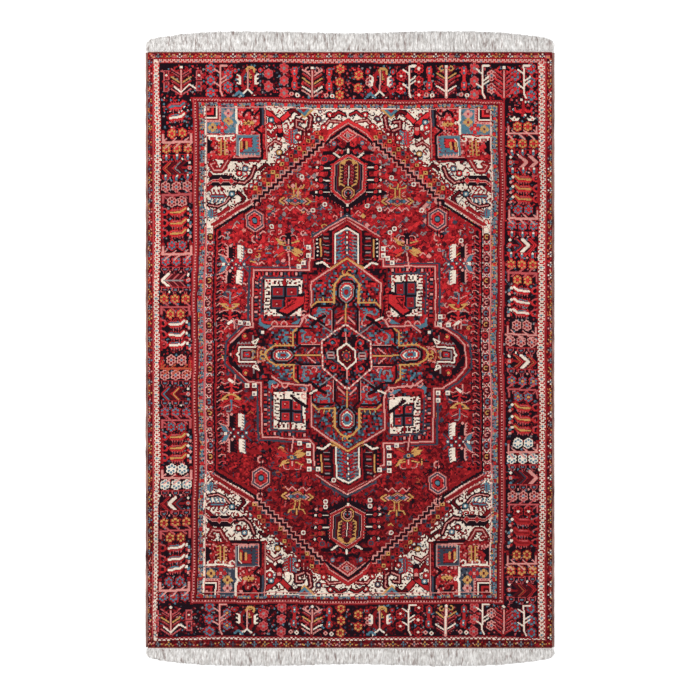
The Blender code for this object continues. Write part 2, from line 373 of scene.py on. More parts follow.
def side_row(pen, kind, dyes, chevron_dyes, leaf_dye, rng):
    """One row of the side border, on a pen at its middle with a pointing away from the field."""
    if kind == "pair":
        for a in (-7, 7):
            rosette(pen.at(a, 0), dyes)
        for a in (-19, 19):
            pen.dot(a, 2, 2.2, "red")
            pen.dot(a * 0.92, -6, 1.4, "steel")
    elif kind == "triple":
        for a in (-14.6, 0, 14.6):
            rosette(pen.at(a, 0), dyes)
    elif kind == "tulips":
        pen.line(((-20, 4.4), (20, 4.4)), 1.5, "red")
        for a in (-14.5, 0, 14.5):
            tulip(pen.at(a, 0), cup="wine" if dyes == "pink" else "red",
                  edge="rose" if dyes == "pink" else "bright")
            pen.dot(a, 3.2, 1.5, "red" if dyes == "pink" else "ivory")
            pen.dot(a, -1.4, 1.5, "maroon" if dyes == "pink" else "slate")
            pen.dot(a + 7.3, -2, 1.3, rng.choice(("slate", "ivory", "pink")))
    elif kind == "chevrons":
        pitch = 27 / len(chevron_dyes)
        pen.line(((17, 0), (-12, 0)), 3.0, "red")
        if len(chevron_dyes) < 3:
            chevrons(pen.at(18 - pitch * 0.5, 0, flip_a=True), ("maroon",) * len(chevron_dyes), pitch=pitch,
                     rise=8, width=2.0)
        for number, dye in enumerate(chevron_dyes):
            arms = pen.at(18 - pitch * number, 0, flip_a=True)
            if dye in ("ivory", "pink"):
                chevrons(arms, (dye,), rise=8.5, width=4.0)
            elif dye in ("rose", "red", "maroon"):
                chevrons(arms, (dye,), rise=8.5, width=1.8)
            else:
                chevrons(arms, ("bright",), rise=8.5, width=3.6)
                chevrons(arms.at(1.4, 0), (dye,), rise=7.5, reach=7.5, width=1.4)
        if len(chevron_dyes) > 3:
            pen.line(((16, 0), (-10, 0)), 1.6, "grey")
        bead(pen.at(-17, 0), "bright", "pink", "slate", 3.6)
        for b in (-7, 7):
            pen.dot(-17, b, 1.7, "ivory" if b > 0 else "slate")
    else:
        leaf(pen.at(-1.5, 0, flip_a=True), leaf_dye)
        pen.line(((20, 7), (20, -7)), 2.6, "red")
        pen.curl(17, 0, 4.6, 60, 240, 2.4, "bright", shrink=0.2)
        pen.line(((20, 6), (13, 3)), 1.4, "rose")
        for a, b, dye in ((-15, 3, "ivory"), (-15, -3, "bright"), (-18, 0, "slate"), (-18, -5, "pink")):
            pen.dot(a, b, 2.0, dye)


def side_border(pen, repeats, last, rng):
    """The rows of one side, on a pen at the border's middle with a pointing away from the field."""
    for start, length, rosettes, chevron_dyes, leaf_dye in repeats:
        pairs = iter(rosettes)
        for kind, share in SIDE_ROWS:
            spot = pen.at(0, start - share * length)
            if spot.origin[1] < last:
                break
            kind_dyes = next(pairs) if kind in ("pair", "triple") else "pink" if start < 190 else "ivory"
            side_row(spot, kind, kind_dyes, chevron_dyes, leaf_dye, rng)
        for share, flip in ((0.078, False), (0.548, True)):
            spot = pen.at(0, start - share * length, flip_b=flip)
            if spot.origin[1] > last + 12:
                branch(spot, "rose" if flip else "orange" if chevron_dyes[0] == "slate" else "pink")


def bird(pen):
    """A small boat-shaped bird."""
    pen.area(((-7, 1), (-2, -4), (5, -4), (7, 0), (2, -1), (0, 3), (-3, -1)), "ivory")
    pen.dot(0, -2, 1.1, "bright")


def split_motif(pen):
    """A stem with a gold curl above and a pair of white toothed shapes."""
    pen.line(((0, 18), (0, -12)), 2.0, "pink")
    pen.line(((-9, -20), (0, -12), (9, -20)), 2.2, "ivory")
    pen.curl(4, 12, 6, 180, -190, 3.0, "gold", shrink=0.2)
    pen.comb((2.5, 14), (2.5, 3), (3, 1), 4, 1.3, "gold")
    for flip in (False, True):
        half = pen.at(0, 0, flip_a=flip)
        half.line(((4, 12), (8, 6), (8, -6), (4, -11)), 4.2, "red")
        half.box(9.4, -5, 11.6, 6, "ivory")
        half.comb((11, -5), (11, 6), (3, 1.6), 3, 1.8, "ivory")
        half.line(((6, -20), (12, -15), (17, -19)), 3.0, "slate" if flip else "maroon")
        half.dot(15, -12, 2.6, "red")
        half.dot(17, 13, 3.2, "bright")
        half.dot(17, 13, 1.3, "slate")


def stem(pen, dye):
    """A crooked stem with twigs, as tall as the border."""
    trunk = ((9, 20), (0, 20), (0, -14), (3, -20))
    pen.line(trunk, 3.8, "red")
    for b, side in ((13, -1), (4, 1), (-5, -1), (-1, 1)):
        pen.line(((0, b - 3), (side * 8, b + 2.4)), 1.8, dye)
    pen.line(trunk, 2.0, dye)


def column(pen, kind, count):
    """Rosettes one above another."""
    for b in (np.arange(count) - (count - 1) / 2) * 16.5:
        rosette(pen.at(0, b), kind, 1.08 if kind in ("dark", "blue") else 0.96)


def border_tree(pen, dyes=("ivory", "red", "gold", "red", "pink"), top="pink", trunk="red"):
    """An upright tree with chevron arms."""
    for number, b in enumerate(np.arange(-20, 8, 5.4)):
        dye = dyes[(number + 4) % len(dyes)]
        for side in (-1, 1):
            pen.line(((0, b), (side * 13, b + 8.4)), 1.9, dye)
            if dye in ("red", "maroon", "bright"):
                pen.line(((side * 3, b + 3.6), (side * 12, b + 9.4)), 1.0, "rose")
    pen.line(((0, 16), (0, -21)), 3.4, trunk)
    pen.line(((0, 14), (0, -19)), 1.3, "pink" if trunk == "red" else "ivory")
    for a in (-6, 6):
        pen.curl(a, 15, 3.4, 90, 250 if a < 0 else -250, 1.6, top, shrink=0.3)
    pen.dot(0, 18, 1.9, "ivory")


def end_border(pen, flowers):
    """The main border along one end, in the same upright order at both ends."""
    for u, kind, count in flowers:
        column(pen.at(u, 0), kind, count)
    for u in (-174, 80, 179, 235):
        stem(pen.at(u, 0), "pink" if u < 0 else "ivory")
    for u in (-137, 41):
        split_motif(pen.at(u, 0))
    for u in (-74, -27, 107, 154):
        dumbbell(pen.at(u, 4))
        for a, b in ((-4, -17), (4, -18)):
            pen.dot(u + a, b, 2.8, "ivory" if a > 0 else "pink")
            pen.dot(u + a, b, 1.2, "bright")
    border_tree(pen.at(-50, 0))
    border_tree(pen.at(130, 0), dyes=("ivory", "maroon", "red", "gold", "maroon"), top="gold", trunk="pink")
    border_tree(pen.at(208, 0), dyes=("red", "bright", "red"), top="bright")
    corner_tree = pen.at(-227 if pen.origin[1] > 0 else -238, 0)
    border_tree(corner_tree, dyes=("red", "red", "gold", "maroon", "rose"), top="red")
    corner_tree.line(((-10, -8), (0, -16), (11, -5), (20, -11)), 2.0, "ivory")
    for a in (-20, 24):
        for b in (-8, 7):
            corner_tree.loop(((a - 3, b - 6), (a + 3, b - 6), (a + 3, b + 6), (a - 3, b + 6)), 1.5, "rose")
            corner_tree.line(((a, b - 4), (a, b + 4)), 2.6, "red")
            corner_tree.line(((a + 3, b), (a + 9, b)), 2.4, "red")
            corner_tree.dot(a, b, 1.5, "ivory" if b > 0 else "slate")


def speckle(pen, rng, low, high, count, dyes, radius=(0.8, 1.5)):
    """Scattered filler spots between two corners."""
    for _ in range(count):
        a, b = rng.uniform(low[0], high[0]), rng.uniform(low[1], high[1])
        pen.dot(a, b, rng.uniform(*radius), dyes[rng.integers(len(dyes))])


def draw_borders(pen, rng):
    """Every stripe round the field, from the outside in."""
    whole = ((-COLUMNS / 2, -ROWS), (COLUMNS / 2, -ROWS), (COLUMNS / 2, ROWS), (-COLUMNS / 2, ROWS))
    pen.mottle(whole, ("maroon", "maroon", "red", "red", "navy", "wine", "maroon", "orange"), rng)
    outer_guard(pen, rng)
    stripe(pen, GUARD, "ivory", line="red")
    lattice_guard(pen)
    stripe(pen, LATTICE, "navy", line="red", width=1.4)
    fillers = ("red", "red", "bright", "maroon", "red", "slate", "grey", "steel", "maroon", "maroon", "wine",
               "rose")
    for low, high in (((-254, -384), (-213, 386)), ((209, -384), (254, 386)),
                      ((-212, 344), (209, 386)), ((-212, -384), (209, -344))):
        size = (high[0] - low[0]) * (high[1] - low[1])
        upright = high[1] - low[1] > high[0] - low[0]
        speckle(pen, rng, low, high, round(size / (21 if upright else 14)), fillers, (0.8, 1.6))
    for low, high in (((-254, 302), (-214, 344)), ((212, 320), (254, 346))):
        speckle(pen, rng, low, high, 46, ("bright", "red", "rose", "slate", "ivory", "red"), (0.9, 1.6))
    side_border(pen.at(-234.5, 0, flip_a=True), LEFT_REPEATS, -338, rng)
    side_border(pen.at(233, 0), RIGHT_REPEATS, -342, rng)
    for a in (-12, 12):
        bird(pen.at(234 + a, 319, flip_a=a > 0))
        pen.curl(234 + a * 0.7, 332, 6, 200 if a > 0 else -20, 150 if a > 0 else -150, 3.0, "bright")
    pen.line(((234, 324), (234, 342)), 3.0, "red")
    for a, v, kind in ((-7, 307, "gold"), (7, 307, "gold"), (-15, 283, "gold"), (0, 283, "gold"),
                       (15, 283, "gold")):
        rosette(pen.at(233 + a, v), kind)
    branch(pen.at(233, 297), "pink")
    for kind, v in (("tulips", 270), ("chevrons", 257), ("tulips", 245), ("leaf", 234), ("leaf", 220),
                    ("leaf", 206)):
        side_row(pen.at(233, v), kind, "ivory", ("pink", "pink"), "gold", rng)
    pen.line(((252, 236), (252, 202)), 2.4, "red")
    for v in (331, 316):
        leaf(pen.at(-234, v), "slate" if v > 320 else "ivory")
    end_border(pen.at(0, 365.5), ((-187, "dark", 3), (-164, "blue", 2), (-109, "ash", 2), (-88, "ash", 3),
               (-13, "gold", 3), (12, "gold", 2), (28, "pink", 1), (53, "blue", 1), (69, "plain", 2),
               (93, "plain", 3), (168, "ash", 3), (191, "pink", 2), (223, "dark", 2), (245, "dark", 3)))
    end_border(pen.at(0, -364), ((-187, "blue", 3), (-164, "amber", 2), (-115, "ash", 2), (-91, "ash", 3),
               (-11, "gold", 3), (12, "gold", 2), (28, "pink", 1), (53, "blue", 1), (69, "plain", 2),
               (93, "plain", 3), (168, "ash", 3), (191, "pink", 2), (223, "blue", 2), (245, "blue", 3)))
    stripe(pen, MAIN, "red", line="red", width=2.0)
    pen.loop([(MAIN[i] * 0.992, MAIN[j] * 0.995) for i, j in ((0, 3), (1, 3), (1, 2), (0, 2))], 1.4, "rose")
    ring = ring_round(DOTTED)
    pen.mottle(ring, ("grey", "steel", "rose", "slate", "maroon", "grey", "gold"), rng, cell=2.0)
    pen.loop(ring, 2.2, "maroon")
    dotted_guards(pen)
    stripe(pen, FIELD, "red", line="rose", width=1.8)


# ---------------------------------------------------------------- the field
STEP_START, STEP_END = (31.0, 285.0), (126.0, 198.0)
STEPS = 16
HEXAGON = np.array([(np.cos(angle), np.sin(angle)) for angle in np.radians(np.arange(30, 390, 60))])


def corners(pen, middle=-2.5):
    """Pens for the field's four quarters: a outwards from its long axis, b outwards from its middle."""
    for flip_a in (True, False):
        for flip_b in (False, True):
            yield pen.at(middle, 0, flip_a=flip_a, flip_b=flip_b)


def blossom(pen, dye, heart_dye, size):
    """Four round petals on a cross."""
    for a, b in ((size * 0.75, 0), (-size * 0.75, 0), (0, size * 0.75), (0, -size * 0.75)):
        pen.dot(a, b, size * 0.48, dye)
    for a, b in ((size, size * 0.7), (-size, size * 0.7), (size, -size * 0.7), (-size, -size * 0.7)):
        pen.dot(a * 0.8, b * 0.8, 0.8, dye)
    pen.dot(0, 0, size * 0.32, heart_dye)


def vine(pen, points, width, edge, fill, core):
    """A stem with an edge on both sides and a thin core."""
    pen.line(points, width + 2.8, edge)
    pen.line(points, width, fill)
    if core:
        pen.line(points, 1.3, core)


def toothed_leaf(pen, length, fill, edge, core, teeth=5):
    """A leaf along b with teeth down both sides."""
    pen.area(((-3.4, 0), (-3.4, length - 3), (0, length), (3.4, length - 3), (3.4, 0), (0, -3)), fill)
    for side in (-1, 1):
        for b in np.linspace(1.5, length - 4, teeth):
            pen.line(((side * 3, b), (side * 8, b + 2.2)), 1.9, fill if side > 0 else core)
            pen.line(((side * 4, b - 1.7), (side * 8, b)), 1.1, edge)
    pen.line(((0, 2), (0, length - 3)), 1.7, core)


def filler_flower(pen, dyes, rng):
    """One of the small fillers strewn over the field."""
    kind = rng.integers(7)
    first, second = rng.choice(dyes, 2)
    if kind == 0:
        cross(pen, first, 2.6)
    elif kind == 1:
        bead(pen, first, second, first, 2.6)
    elif kind == 2:
        pen.line(((-3.4, -2), (0, 2), (3.4, -1)), 1.5, first)
    elif kind == 3:
        pen.curl(0, 0, 3.8, rng.uniform(0, 360), 220, 1.4, first)
    elif kind == 4:
        pen.line(((-3.4, 0), (3.4, 0)), 1.5, first)
        pen.dot(0, 2, 1.4, second)
    elif kind == 5:
        pen.line(((0, -3.4), (0, 3.4)), 1.5, first)
        pen.line(((-2.4, 1), (2.4, 2.6)), 1.4, second)
    else:
        for a in (-2.6, 0, 2.6):
            pen.dot(a, abs(a) * 0.6, 1.2, first)


def field_ground(pen, rng):
    """The red field with its strewn fillers."""
    pen.mottle(ring_round(np.array(FIELD) + (4, -4, -4, 4)), ("red",) * 6 + ("maroon", "maroon", "bright"),
               rng)
    near = ("maroon", "maroon", "wine", "wine", "navy", "steel", "maroon", "navy", "red", "bright")
    far = ("maroon", "maroon", "wine", "bright", "bright", "pink", "steel", "bright", "grey")
    for v in np.arange(-300, 306, 6.4):
        for u in np.arange(-178, 178, 6.8):
            spot = pen.at(u + rng.uniform(-3, 3), v + rng.uniform(-3, 3))
            filler_flower(spot, far if v > 0 else near, rng)
    for _ in range(300):
        v = rng.uniform(-260, 260)
        dyes = ("gold", "pink", "slate", "steel", "navy", "bright", "pink", "orange") if v > -40 else (
            "gold", "rose", "steel", "navy", "wine", "bright", "orange")
        filler_flower(pen.at(rng.uniform(-175, 172), v), dyes, rng)


def side_strip(pen, rng):
    """The white strip of dark flowers down one side of the field, and the navy hooks beside it."""
    pen.mottle(((182, -166), (192, -166), (192, 168), (182, 168)), ("ivory",) * 5 + ("grey", "pink"), rng,
               cell=1.6)
    for number, b in enumerate(np.arange(-158, 165, 14.8)):
        for side in (-1, 1):
            pen.line(((182, b - 7.4 + 4.2 * side), (192, b - 7.4 - 4.2 * side)), 1.3, "rose")
            pen.dot(187 + 4.4 * side, b - 7.4, 1.6, "wine" if number % 3 else "slate")
        bead(pen.at(187, b), "wine", "maroon" if number % 2 else "red", "wine", 5.4)
        pen.curl(187, b, 2.7, 60, 230, 1.5, ("bright", "gold", "slate", "pink")[number % 4], shrink=0.3)
        pen.dot(187, b - 7.4, 1.3, "red")
    pen.line(((183, -165), (183, 167)), 1.2, "red")
    pen.line(((180.6, -163), (180.6, 164)), 2.6, "navy")
    pen.line(((177.8, -161), (177.8, 162)), 1.6, "red")
    pen.line(((174.4, -159), (174.4, 160)), 4.0, "navy")
    for number, b in enumerate(np.arange(-154, 156, 9.2)):
        dye = ("navy", "navy", "navy", "wine")[number % 4]
        pen.line(((176, b), (171, b + 2.6), (167.5, b - 0.6)), 2.8, dye)
        pen.line(((176, b + 2.0), (172.4, b + 4.8), (168.4, b + 4.0), (168, b + 1.4)), 1.2,
                 "pink" if number % 2 else "rose")
        pen.line(((176, b - 2.6), (172, b - 1.6)), 1.1, "red")
        pen.dot(170, b + 1.6, 1.1, "bright")


def spandrel(pen, rng, gold_rows):
    """An ivory corner of the field, full of scrolls, behind its stepped edge."""
    (a0, b0), (a1, b1) = STEP_START, STEP_END
    ground = ((0, 331), (194, 331), (194, 167), (181, 167), (a1, b1), (a0, b0), (0, 306))
    pen.mottle(ground, ("ivory",) * 17 + ("navy", "wine", "red", "grey"), rng, cell=2.0)
    spandrel_scrolls(pen, rng)
    edge = ((0, 306), (0, 318), (a0 - 8, 303), (a0 + 15, b0 + 15), (a1 + 15, b1 + 15), (a1, b1), (a0, b0))
    pen.mottle(edge, ("red", "red", "maroon", "bright"), rng)
    rise, drop = (a1 - a0) / STEPS, (b0 - b1) / STEPS
    dyes = ("bright", "steel", "orange", "gold", "red", "steel")
    if gold_rows:
        dyes = ("gold", "steel", "orange", "grey", "gold", "bright")
    for number in range(STEPS):
        a, b = a0 + rise * number, b0 - drop * number
        for row, shift in enumerate((6.4, 12.2)):
            ring = dyes[(number + row * 2) % len(dyes)]
            checker(pen.at(a + shift, b + shift - 1), ring,
                    "wine" if ring in ("gold", "orange", "grey") else "navy")
        pen.line(((a + 14, b + 17), (a + rise + 14, b + 17), (a + rise + 14, b - drop + 17)), 2.0,
                 "maroon" if number % 2 else "red")
        pen.line(((a + 2.2, b + 2.6), (a + rise + 2.2, b + 2.6), (a + rise + 2.2, b - drop + 2.6)), 1.3,
                 "pink")
        pen.line(((a, b), (a + rise, b), (a + rise, b - drop)), 2.6, "navy")
        pen.line(((a - 2.4, b - 2.6), (a + rise - 2.4, b - 2.6), (a + rise - 2.4, b - drop - 2.6)), 1.2,
                 "pink")
    pen.line(((a1 - 2, b1 - 3.6), (177, 160)), 3.6, "red")
    pen.line(((a1 + 4, b1 + 5), (184, 169)), 5.4, "red")
    pen.line(((a1 + 6, b1 + 7), (187, 173)), 1.3, "pink")
    pen.line(((a1 + 2, b1 + 2.6), (183, 166)), 1.3, "pink")
    pen.line(((a1, b1), (180.6, 163)), 3.4, "navy")
    pen.line(((0, 314), (a0 - 6, 298), (a0, b0 + 2)), 4.6, "bright")
    pen.line(((0, 311), (a0 - 6, 295), (a0, b0)), 1.3, "pink")
    pen.line(((0, 307), (a0 - 6, 290), (a0, b0 - 2)), 3.4, "navy")
    pen.line(((0, 303.6), (a0 - 7, 287)), 1.3, "pink")


SPANDREL_VINES = (   # points, width, fill and whether it has a core line
    (((189, 258), (176, 264), (160, 260), (122, 258)), 4.4, "red", True),
    (((162, 260), (168, 250), (172, 243), (182, 243), (187, 251), (181, 253)), 5.0, "red", True),
    (((155, 229), (141, 227), (132, 235), (127, 248)), 4.6, "maroon", True),
    (((191, 216), (182, 224), (188, 238)), 3.2, "red", False),
    (((188, 196), (176, 194), (166, 199), (158, 209), (148, 214)), 3.4, "maroon", True),
    (((184, 182), (172, 184), (162, 192)), 3.0, "red", False),
    (((93, 296), (93, 309), (78, 324)), 6.0, "bright", False),
    (((93, 309), (109, 322)), 6.0, "bright", False),
    (((93, 296), (84, 288), (74, 300), (66, 300)), 2.2, "red", False),
    (((60, 282), (60, 298), (52, 303), (50, 318), (58, 325)), 5.4, "maroon", True),
    (((60, 300), (70, 304), (70, 313), (62, 312)), 4.4, "maroon", True),
    (((116, 262), (110, 276), (100, 284), (92, 280)), 2.6, "red", True),
    (((112, 296), (104, 290), (98, 298)), 2.6, "red", False),
    (((36, 300), (26, 314), (10, 312)), 3.0, "red", True),
    (((120, 246), (112, 252), (106, 246)), 2.2, "maroon", False),
    (((146, 196), (140, 206), (148, 214)), 2.2, "maroon", False),
    (((80, 272), (88, 264), (98, 268)), 2.2, "red", False),
)


def spandrel_scrolls(pen, rng):
    """Vines, leaves, lances, stands and flowers on the ivory."""
    for a in np.arange(6, 190, 9.5):
        for b in np.arange(172, 328, 9.5):
            if a * 0.92 + b > 326:
                spot = pen.at(a + rng.uniform(-3, 3), b + rng.uniform(-3, 3))
                kind = rng.integers(4)
                if kind == 0:
                    spot.curl(0, 0, 4.2, rng.uniform(0, 360), 230, 2.0,
                              rng.choice(("red", "maroon", "bright")))
                elif kind == 1:
                    bead(spot, "red", rng.choice(("navy", "slate", "bright")), "ivory", 2.9)
                elif kind == 2:
                    spot.line(((-4, -3), (0, 2), (4, -2)), 1.8, rng.choice(("red", "grey", "maroon")))
                pen.dot(a + 4.7, b + 4.7, 1.3, "navy" if kind % 2 else "wine")
    for points, width, fill, cored in SPANDREL_VINES:
        vine(pen, points, width, "navy" if fill != "red" else "maroon", fill, "pink" if cored else None)
    for a, b in ((187, 230), (150, 230)):
        pen.dot(a, b, 2.0, "navy")
    pen.area(((190, 230), (184, 237.5), (158, 237.5), (153, 230), (158, 222.5), (184, 222.5)), "navy")
    pen.line(((192, 223), (184, 229), (157, 229)), 3.6, "pink")
    for radius, dye in ((5.4, "pink"), (4.0, "bright")):
        for a in (159, 173):
            pen.area(((a, 229 - radius), (a + radius, 229), (a, 229 + radius), (a - radius, 229)), dye)
    pen.line(((191, 223), (184, 229), (157, 229)), 1.8, "bright")
    toothed_leaf(pen.at(78, 280), 22, "bright", "grey", "slate")
    toothed_leaf(pen.at(166, 208, turn=True), 22, "red", "ivory", "slate", teeth=4)
    toothed_leaf(pen.at(186, 180), 12, "slate", "grey", "red", teeth=3)
    toothed_leaf(pen.at(92, 258), 12, "slate", "ivory", "wine", teeth=3)
    for a, b, edge, fill in ((148, 240, "navy", "bright"), (157, 211, "navy", "slate"),
                             (95, 268, "wine", "gold"), (90, 262, "navy", "slate"),
                             (33, 305, "maroon", "bright"), (17, 301, "red", "bright"),
                             (112, 240, "red", "orange"), (140, 246, "maroon", "slate"),
                             (24, 322, "navy", "bright"), (104, 312, "navy", "slate"),
                             (40, 316, "maroon", "steel"), (132, 222, "red", "slate"),
                             (106, 304, "red", "bright"), (69, 290, "maroon", "bright")):
        bead(pen.at(a, b), edge, fill, "ivory", 5.0)
    for b, dye in ((292, "navy"), (297, "bright"), (303, "pink"), (308, "maroon")):
        pen.dot(93, b, 2.6 if dye != "navy" else 4.4, dye)
    pen.area(((44, 330), (74, 330), (59, 316)), "gold")
    pen.area(((48, 330), (70, 330), (59, 319)), "slate")
    pen.area(((53, 330), (65, 330), (59, 324)), "red")
    vine(pen, ((78, 324), (72, 327), (66, 322)), 3.0, "navy", "maroon", None)
    vine(pen, ((4, 322), (12, 326), (20, 320)), 2.6, "navy", "red", None)


def corner_box(pen, rng, blue):
    """The four-part box in a corner of the field."""
    def ground(a0, b0, a1, b1, dyes):
        pen.mottle(((a0, b0), (a1, b0), (a1, b1), (a0, b1)), dyes, rng, cell=2.4)

    ground(110, 258, 192, 331, ("red", "red", "bright", "maroon"))
    ground(117, 262, 192, 331, ("bright",) * 5 + ("red", "rose", "red", "maroon", "pink"))
    pen.line(((115, 331), (115, 306)), 3.2, "steel")
    pen.line(((112, 331), (112, 262)), 1.5, "pink")
    ground(150, 294, 192, 331, (blue,) * 5 + ("steel", "grey", "grey" if blue == "slate" else "navy"))
    for a, b, dye, middle, size in ((162, 322, "pink", "bright", 5), (162, 311, "gold", "red", 5),
                                    (184, 302, "gold", "maroon", 5), (171, 302, "bright", "pink", 6)):
        blossom(pen.at(a, b), dye, middle, size)
    for a0, b0, a1, b1, dye in ((171, 309, 192, 331, "pink"), (174, 312, 192, 331, "red"),
                                (176, 314, 192, 331, "ivory"), (178, 316, 192, 331, "navy"),
                                (181, 319, 192, 331, "bright"), (184, 322, 192, 331, "maroon"),
                                (187, 325, 190, 328, "pink")):
        pen.box(a0, b0, a1, b1, dye)
    for along in np.arange(311, 330, 3.6):
        pen.dot(172.5, along, 0.9, "bright")
        pen.dot(172 + along - 309, 310.5, 0.9, "bright")
    pen.line(((151, 331), (151, 314), (148, 310), (151, 306), (151, 294)), 2.9, "ivory")
    pen.curl(146, 309, 3.0, 0, 250, 1.6, "ivory")
    pen.line(((190, 291), (172, 290), (156, 291)), 2.4, "ivory")
    for a, start in ((186, -90), (176, 200), (166, -90), (157, 200)):
        pen.curl(a, 287.4, 3.4, start, 200, 1.9, "ivory", shrink=0.3)
    pen.curl(134, 320, 7.0, -10, 200, 3.6, "navy", shrink=0.3)
    pen.line(((126, 319), (120, 325)), 3.0, "navy")
    pen.line(((128, 308), (141, 308)), 3.0, "gold")
    for a in (130, 134.5, 139):
        pen.line(((a, 305), (a, 311)), 1.6, "gold")
    pen.dot(134.5, 308, 1.5, "maroon")
    speckle(pen, rng, (119, 294), (147, 330), 24, ("maroon", "wine", "pink"))
    pen.area(((192, 288), (184, 283), (187, 277), (182, 272), (192, 264)), "navy")
    for shift in (-2.6, 2.6):
        pen.comb((170 + shift, 285), (170 + shift, 265), (shift * 1.3, 1), 5, 1.5, "gold")
    for b in (269, 275, 281):
        pen.dot(170, b, 1.2, "maroon")
    for a, b in ((161, 268), (162, 281), (179, 268), (178, 280)):
        pen.dot(a, b, 1.9, "maroon")
        pen.dot(a + 2, b + 1, 1.0, "pink")
    for inset, dye in ((0, "grey"), (1.4, blue), (4, "maroon"), (5.2, "bright")):
        pen.box(120 + inset, 264 + inset, 152 - inset, 292 - inset, dye)
    pen.area(((124, 269), (144, 269), (138, 275), (130, 275), (130, 288), (124, 288)), blue)
    for along in np.arange(0, 18, 4.4):
        pen.area(((126 + along, 262.6), (128 + along, 267.5), (130 + along, 262.6)), "pink")
        pen.area(((120.6, 268 + along), (125.4, 270 + along), (120.6, 272 + along)), "bright")
        pen.dot(130.5, 271 + along, 1.0, "maroon")
    pen.line(((144, 287), (148, 283), (148, 264)), 1.4, "ivory")
    for a, dye in ((139, "gold"), (142.6, "wine"), (146, "gold")):
        pen.line(((a - 1, 273), (a - 1, 283)), 2.0, dye)
    pen.line(((118, 331), (118, 306), (127, 300), (118, 293), (118, 260), (158, 258)), 3.2, "navy")
    pen.line(((121, 292), (121, 262.6), (156, 261.6)), 1.3, "pink")


def lamp(pen):
    """A gold hanging lamp."""
    body = ((-23, 0), (-16, 5), (-8, 3), (0, 7), (8, 3), (16, 5), (23, 0), (16, -5), (8, -3), (0, -7),
            (-8, -3), (-16, -5))
    for scale, dye in ((1.0, "gold"), (0.84, "maroon"), (0.72, "pink"), (0.58, "steel")):
        pen.area(np.array(body) * scale, dye)
    for a in (-9, 0, 9):
        pen.dot(a, 0, 1.8, "slate" if a else "bright")
    for side in (-1, 1):
        pen.line(((side * 3, 6), (side * 3, 17), (side * 9, 18), (side * 11, 22)), 1.7, "gold")
        pen.line(((side * 3, 8), (side * 10, 10)), 1.4, "orange")
        pen.line(((side * 2, -9), (side * 7, -13), (side * 12, -9), (side * 16, -12)), 1.5, "pink")
        pen.dot(side * 7, -9, 1.8, "bright")
    pen.line(((0, 24), (0, 17)), 2.0, "gold")


def hexagon_flower(pen):
    """A red flower in nested hexagons with little hooks."""
    for radius, dye in ((18, "navy"), (16.6, "red"), (14.6, "pink"), (13.2, "steel"), (10.8, "pink"),
                        (9.4, "bright"), (5.0, "navy"), (3.4, "slate")):
        pen.area(HEXAGON * (radius * 0.95, radius * 1.12), dye)
    for angle in np.radians(np.arange(0, 360, 60)):
        pen.dot(7.2 * np.cos(angle), 8.2 * np.sin(angle), 1.4, "maroon")
    for flip in (False, True):
        half = pen.at(0, 0, flip_b=flip)
        half.curl(0, 24, 5.5, 90, 240, 1.8, "pink", shrink=0.5)
        half.curl(5, 22, 4.0, 90, -200, 2.0, "navy", shrink=0.4)
        half.line(((0, 16), (0, 22)), 2.4, "navy")


def feather_bars(pen):
    """Two toothed feathers, white and navy, above each other, with a fan between them."""
    for b in (-17, 17):
        pen.box(-1, b - 9, 3, b + 9, "ivory")
        pen.comb((3, b - 8), (3, b + 8), (3.4, -2.2), 5, 2.2, "ivory")
        pen.box(-13, b - 9, -8, b + 9, "navy")
        pen.comb((-8, b - 8), (-8, b + 8), (3.2, -1.8), 5, 2.0, "navy")
        pen.comb((-14, b - 8), (-14, b + 8), (-2.8, 1.8), 5, 1.4, "pink")
        pen.dot(-10, b + 8, 1.6, "pink")
        pen.line(((7.5, b - 8), (7.5, b + 7)), 1.6, "slate")
    for a, b in ((-7, 5), (-7, -5), (-2, 0), (4, 5), (4, -5), (9, 0), (-12, 0)):
        pen.dot(a, b, 2.3, "slate" if a > 3 else "steel")
        pen.dot(a, b, 1.0, "ivory")
    for side in (-1, 1):
        pen.area(((-14, side * 1), (-18, side * 9), (-25, side * 12), (-21, side * 3)), "slate")
        pen.line(((-13, side * 2), (-18, side * 11), (-27, side * 14)), 1.3, "pink")
        pen.line(((8, side * 3), (15, side * 10)), 1.5, "steel")
    pen.dot(-19, 0, 2.4, "ivory")
    pen.dot(-24, 0, 1.8, "grey")


def dragonfly(pen):
    """A plant with navy, gold and red wings on a stem; b runs up from its navy wings."""
    pen.line(((0, 26), (0, -12)), 3.4, "bright")
    pen.line(((0, 27), (0, 14)), 2.8, "slate")
    pen.line(((-6, 29), (-2, 29), (0, 25)), 2.2, "grey")
    for flip in (False, True):
        half = pen.at(0, 0, flip_a=flip)
        half.area(((1, 13), (4, 19), (12, 22), (14, 19), (7, 13)), "bright")
        half.line(((3, 16), (9, 19)), 1.5, "maroon")
        half.line(((2, 20), (10, 23.5)), 1.2, "pink")
        half.line(((1, 6), (5, 7), (11, 12)), 2.2, "gold")
        half.line(((5, 12), (12, 12)), 1.6, "gold")
        half.area(((1, -3), (5, 2), (12, 1), (16, -3), (13, -9), (10, -5), (4, -9)), "navy")
        half.line(((2, 4), (9, 3.4), (15, 0)), 1.3, "pink")
        half.line(((2, -5), (9, -3)), 1.7, "bright")
        half.line(((3, -11), (9, -8), (14, -11)), 1.2, "pink")
    pen.line(((-3, -14), (1, -11)), 3.4, "ivory")
    pen.line(((4, -8), (5, -20)), 1.8, "pink")


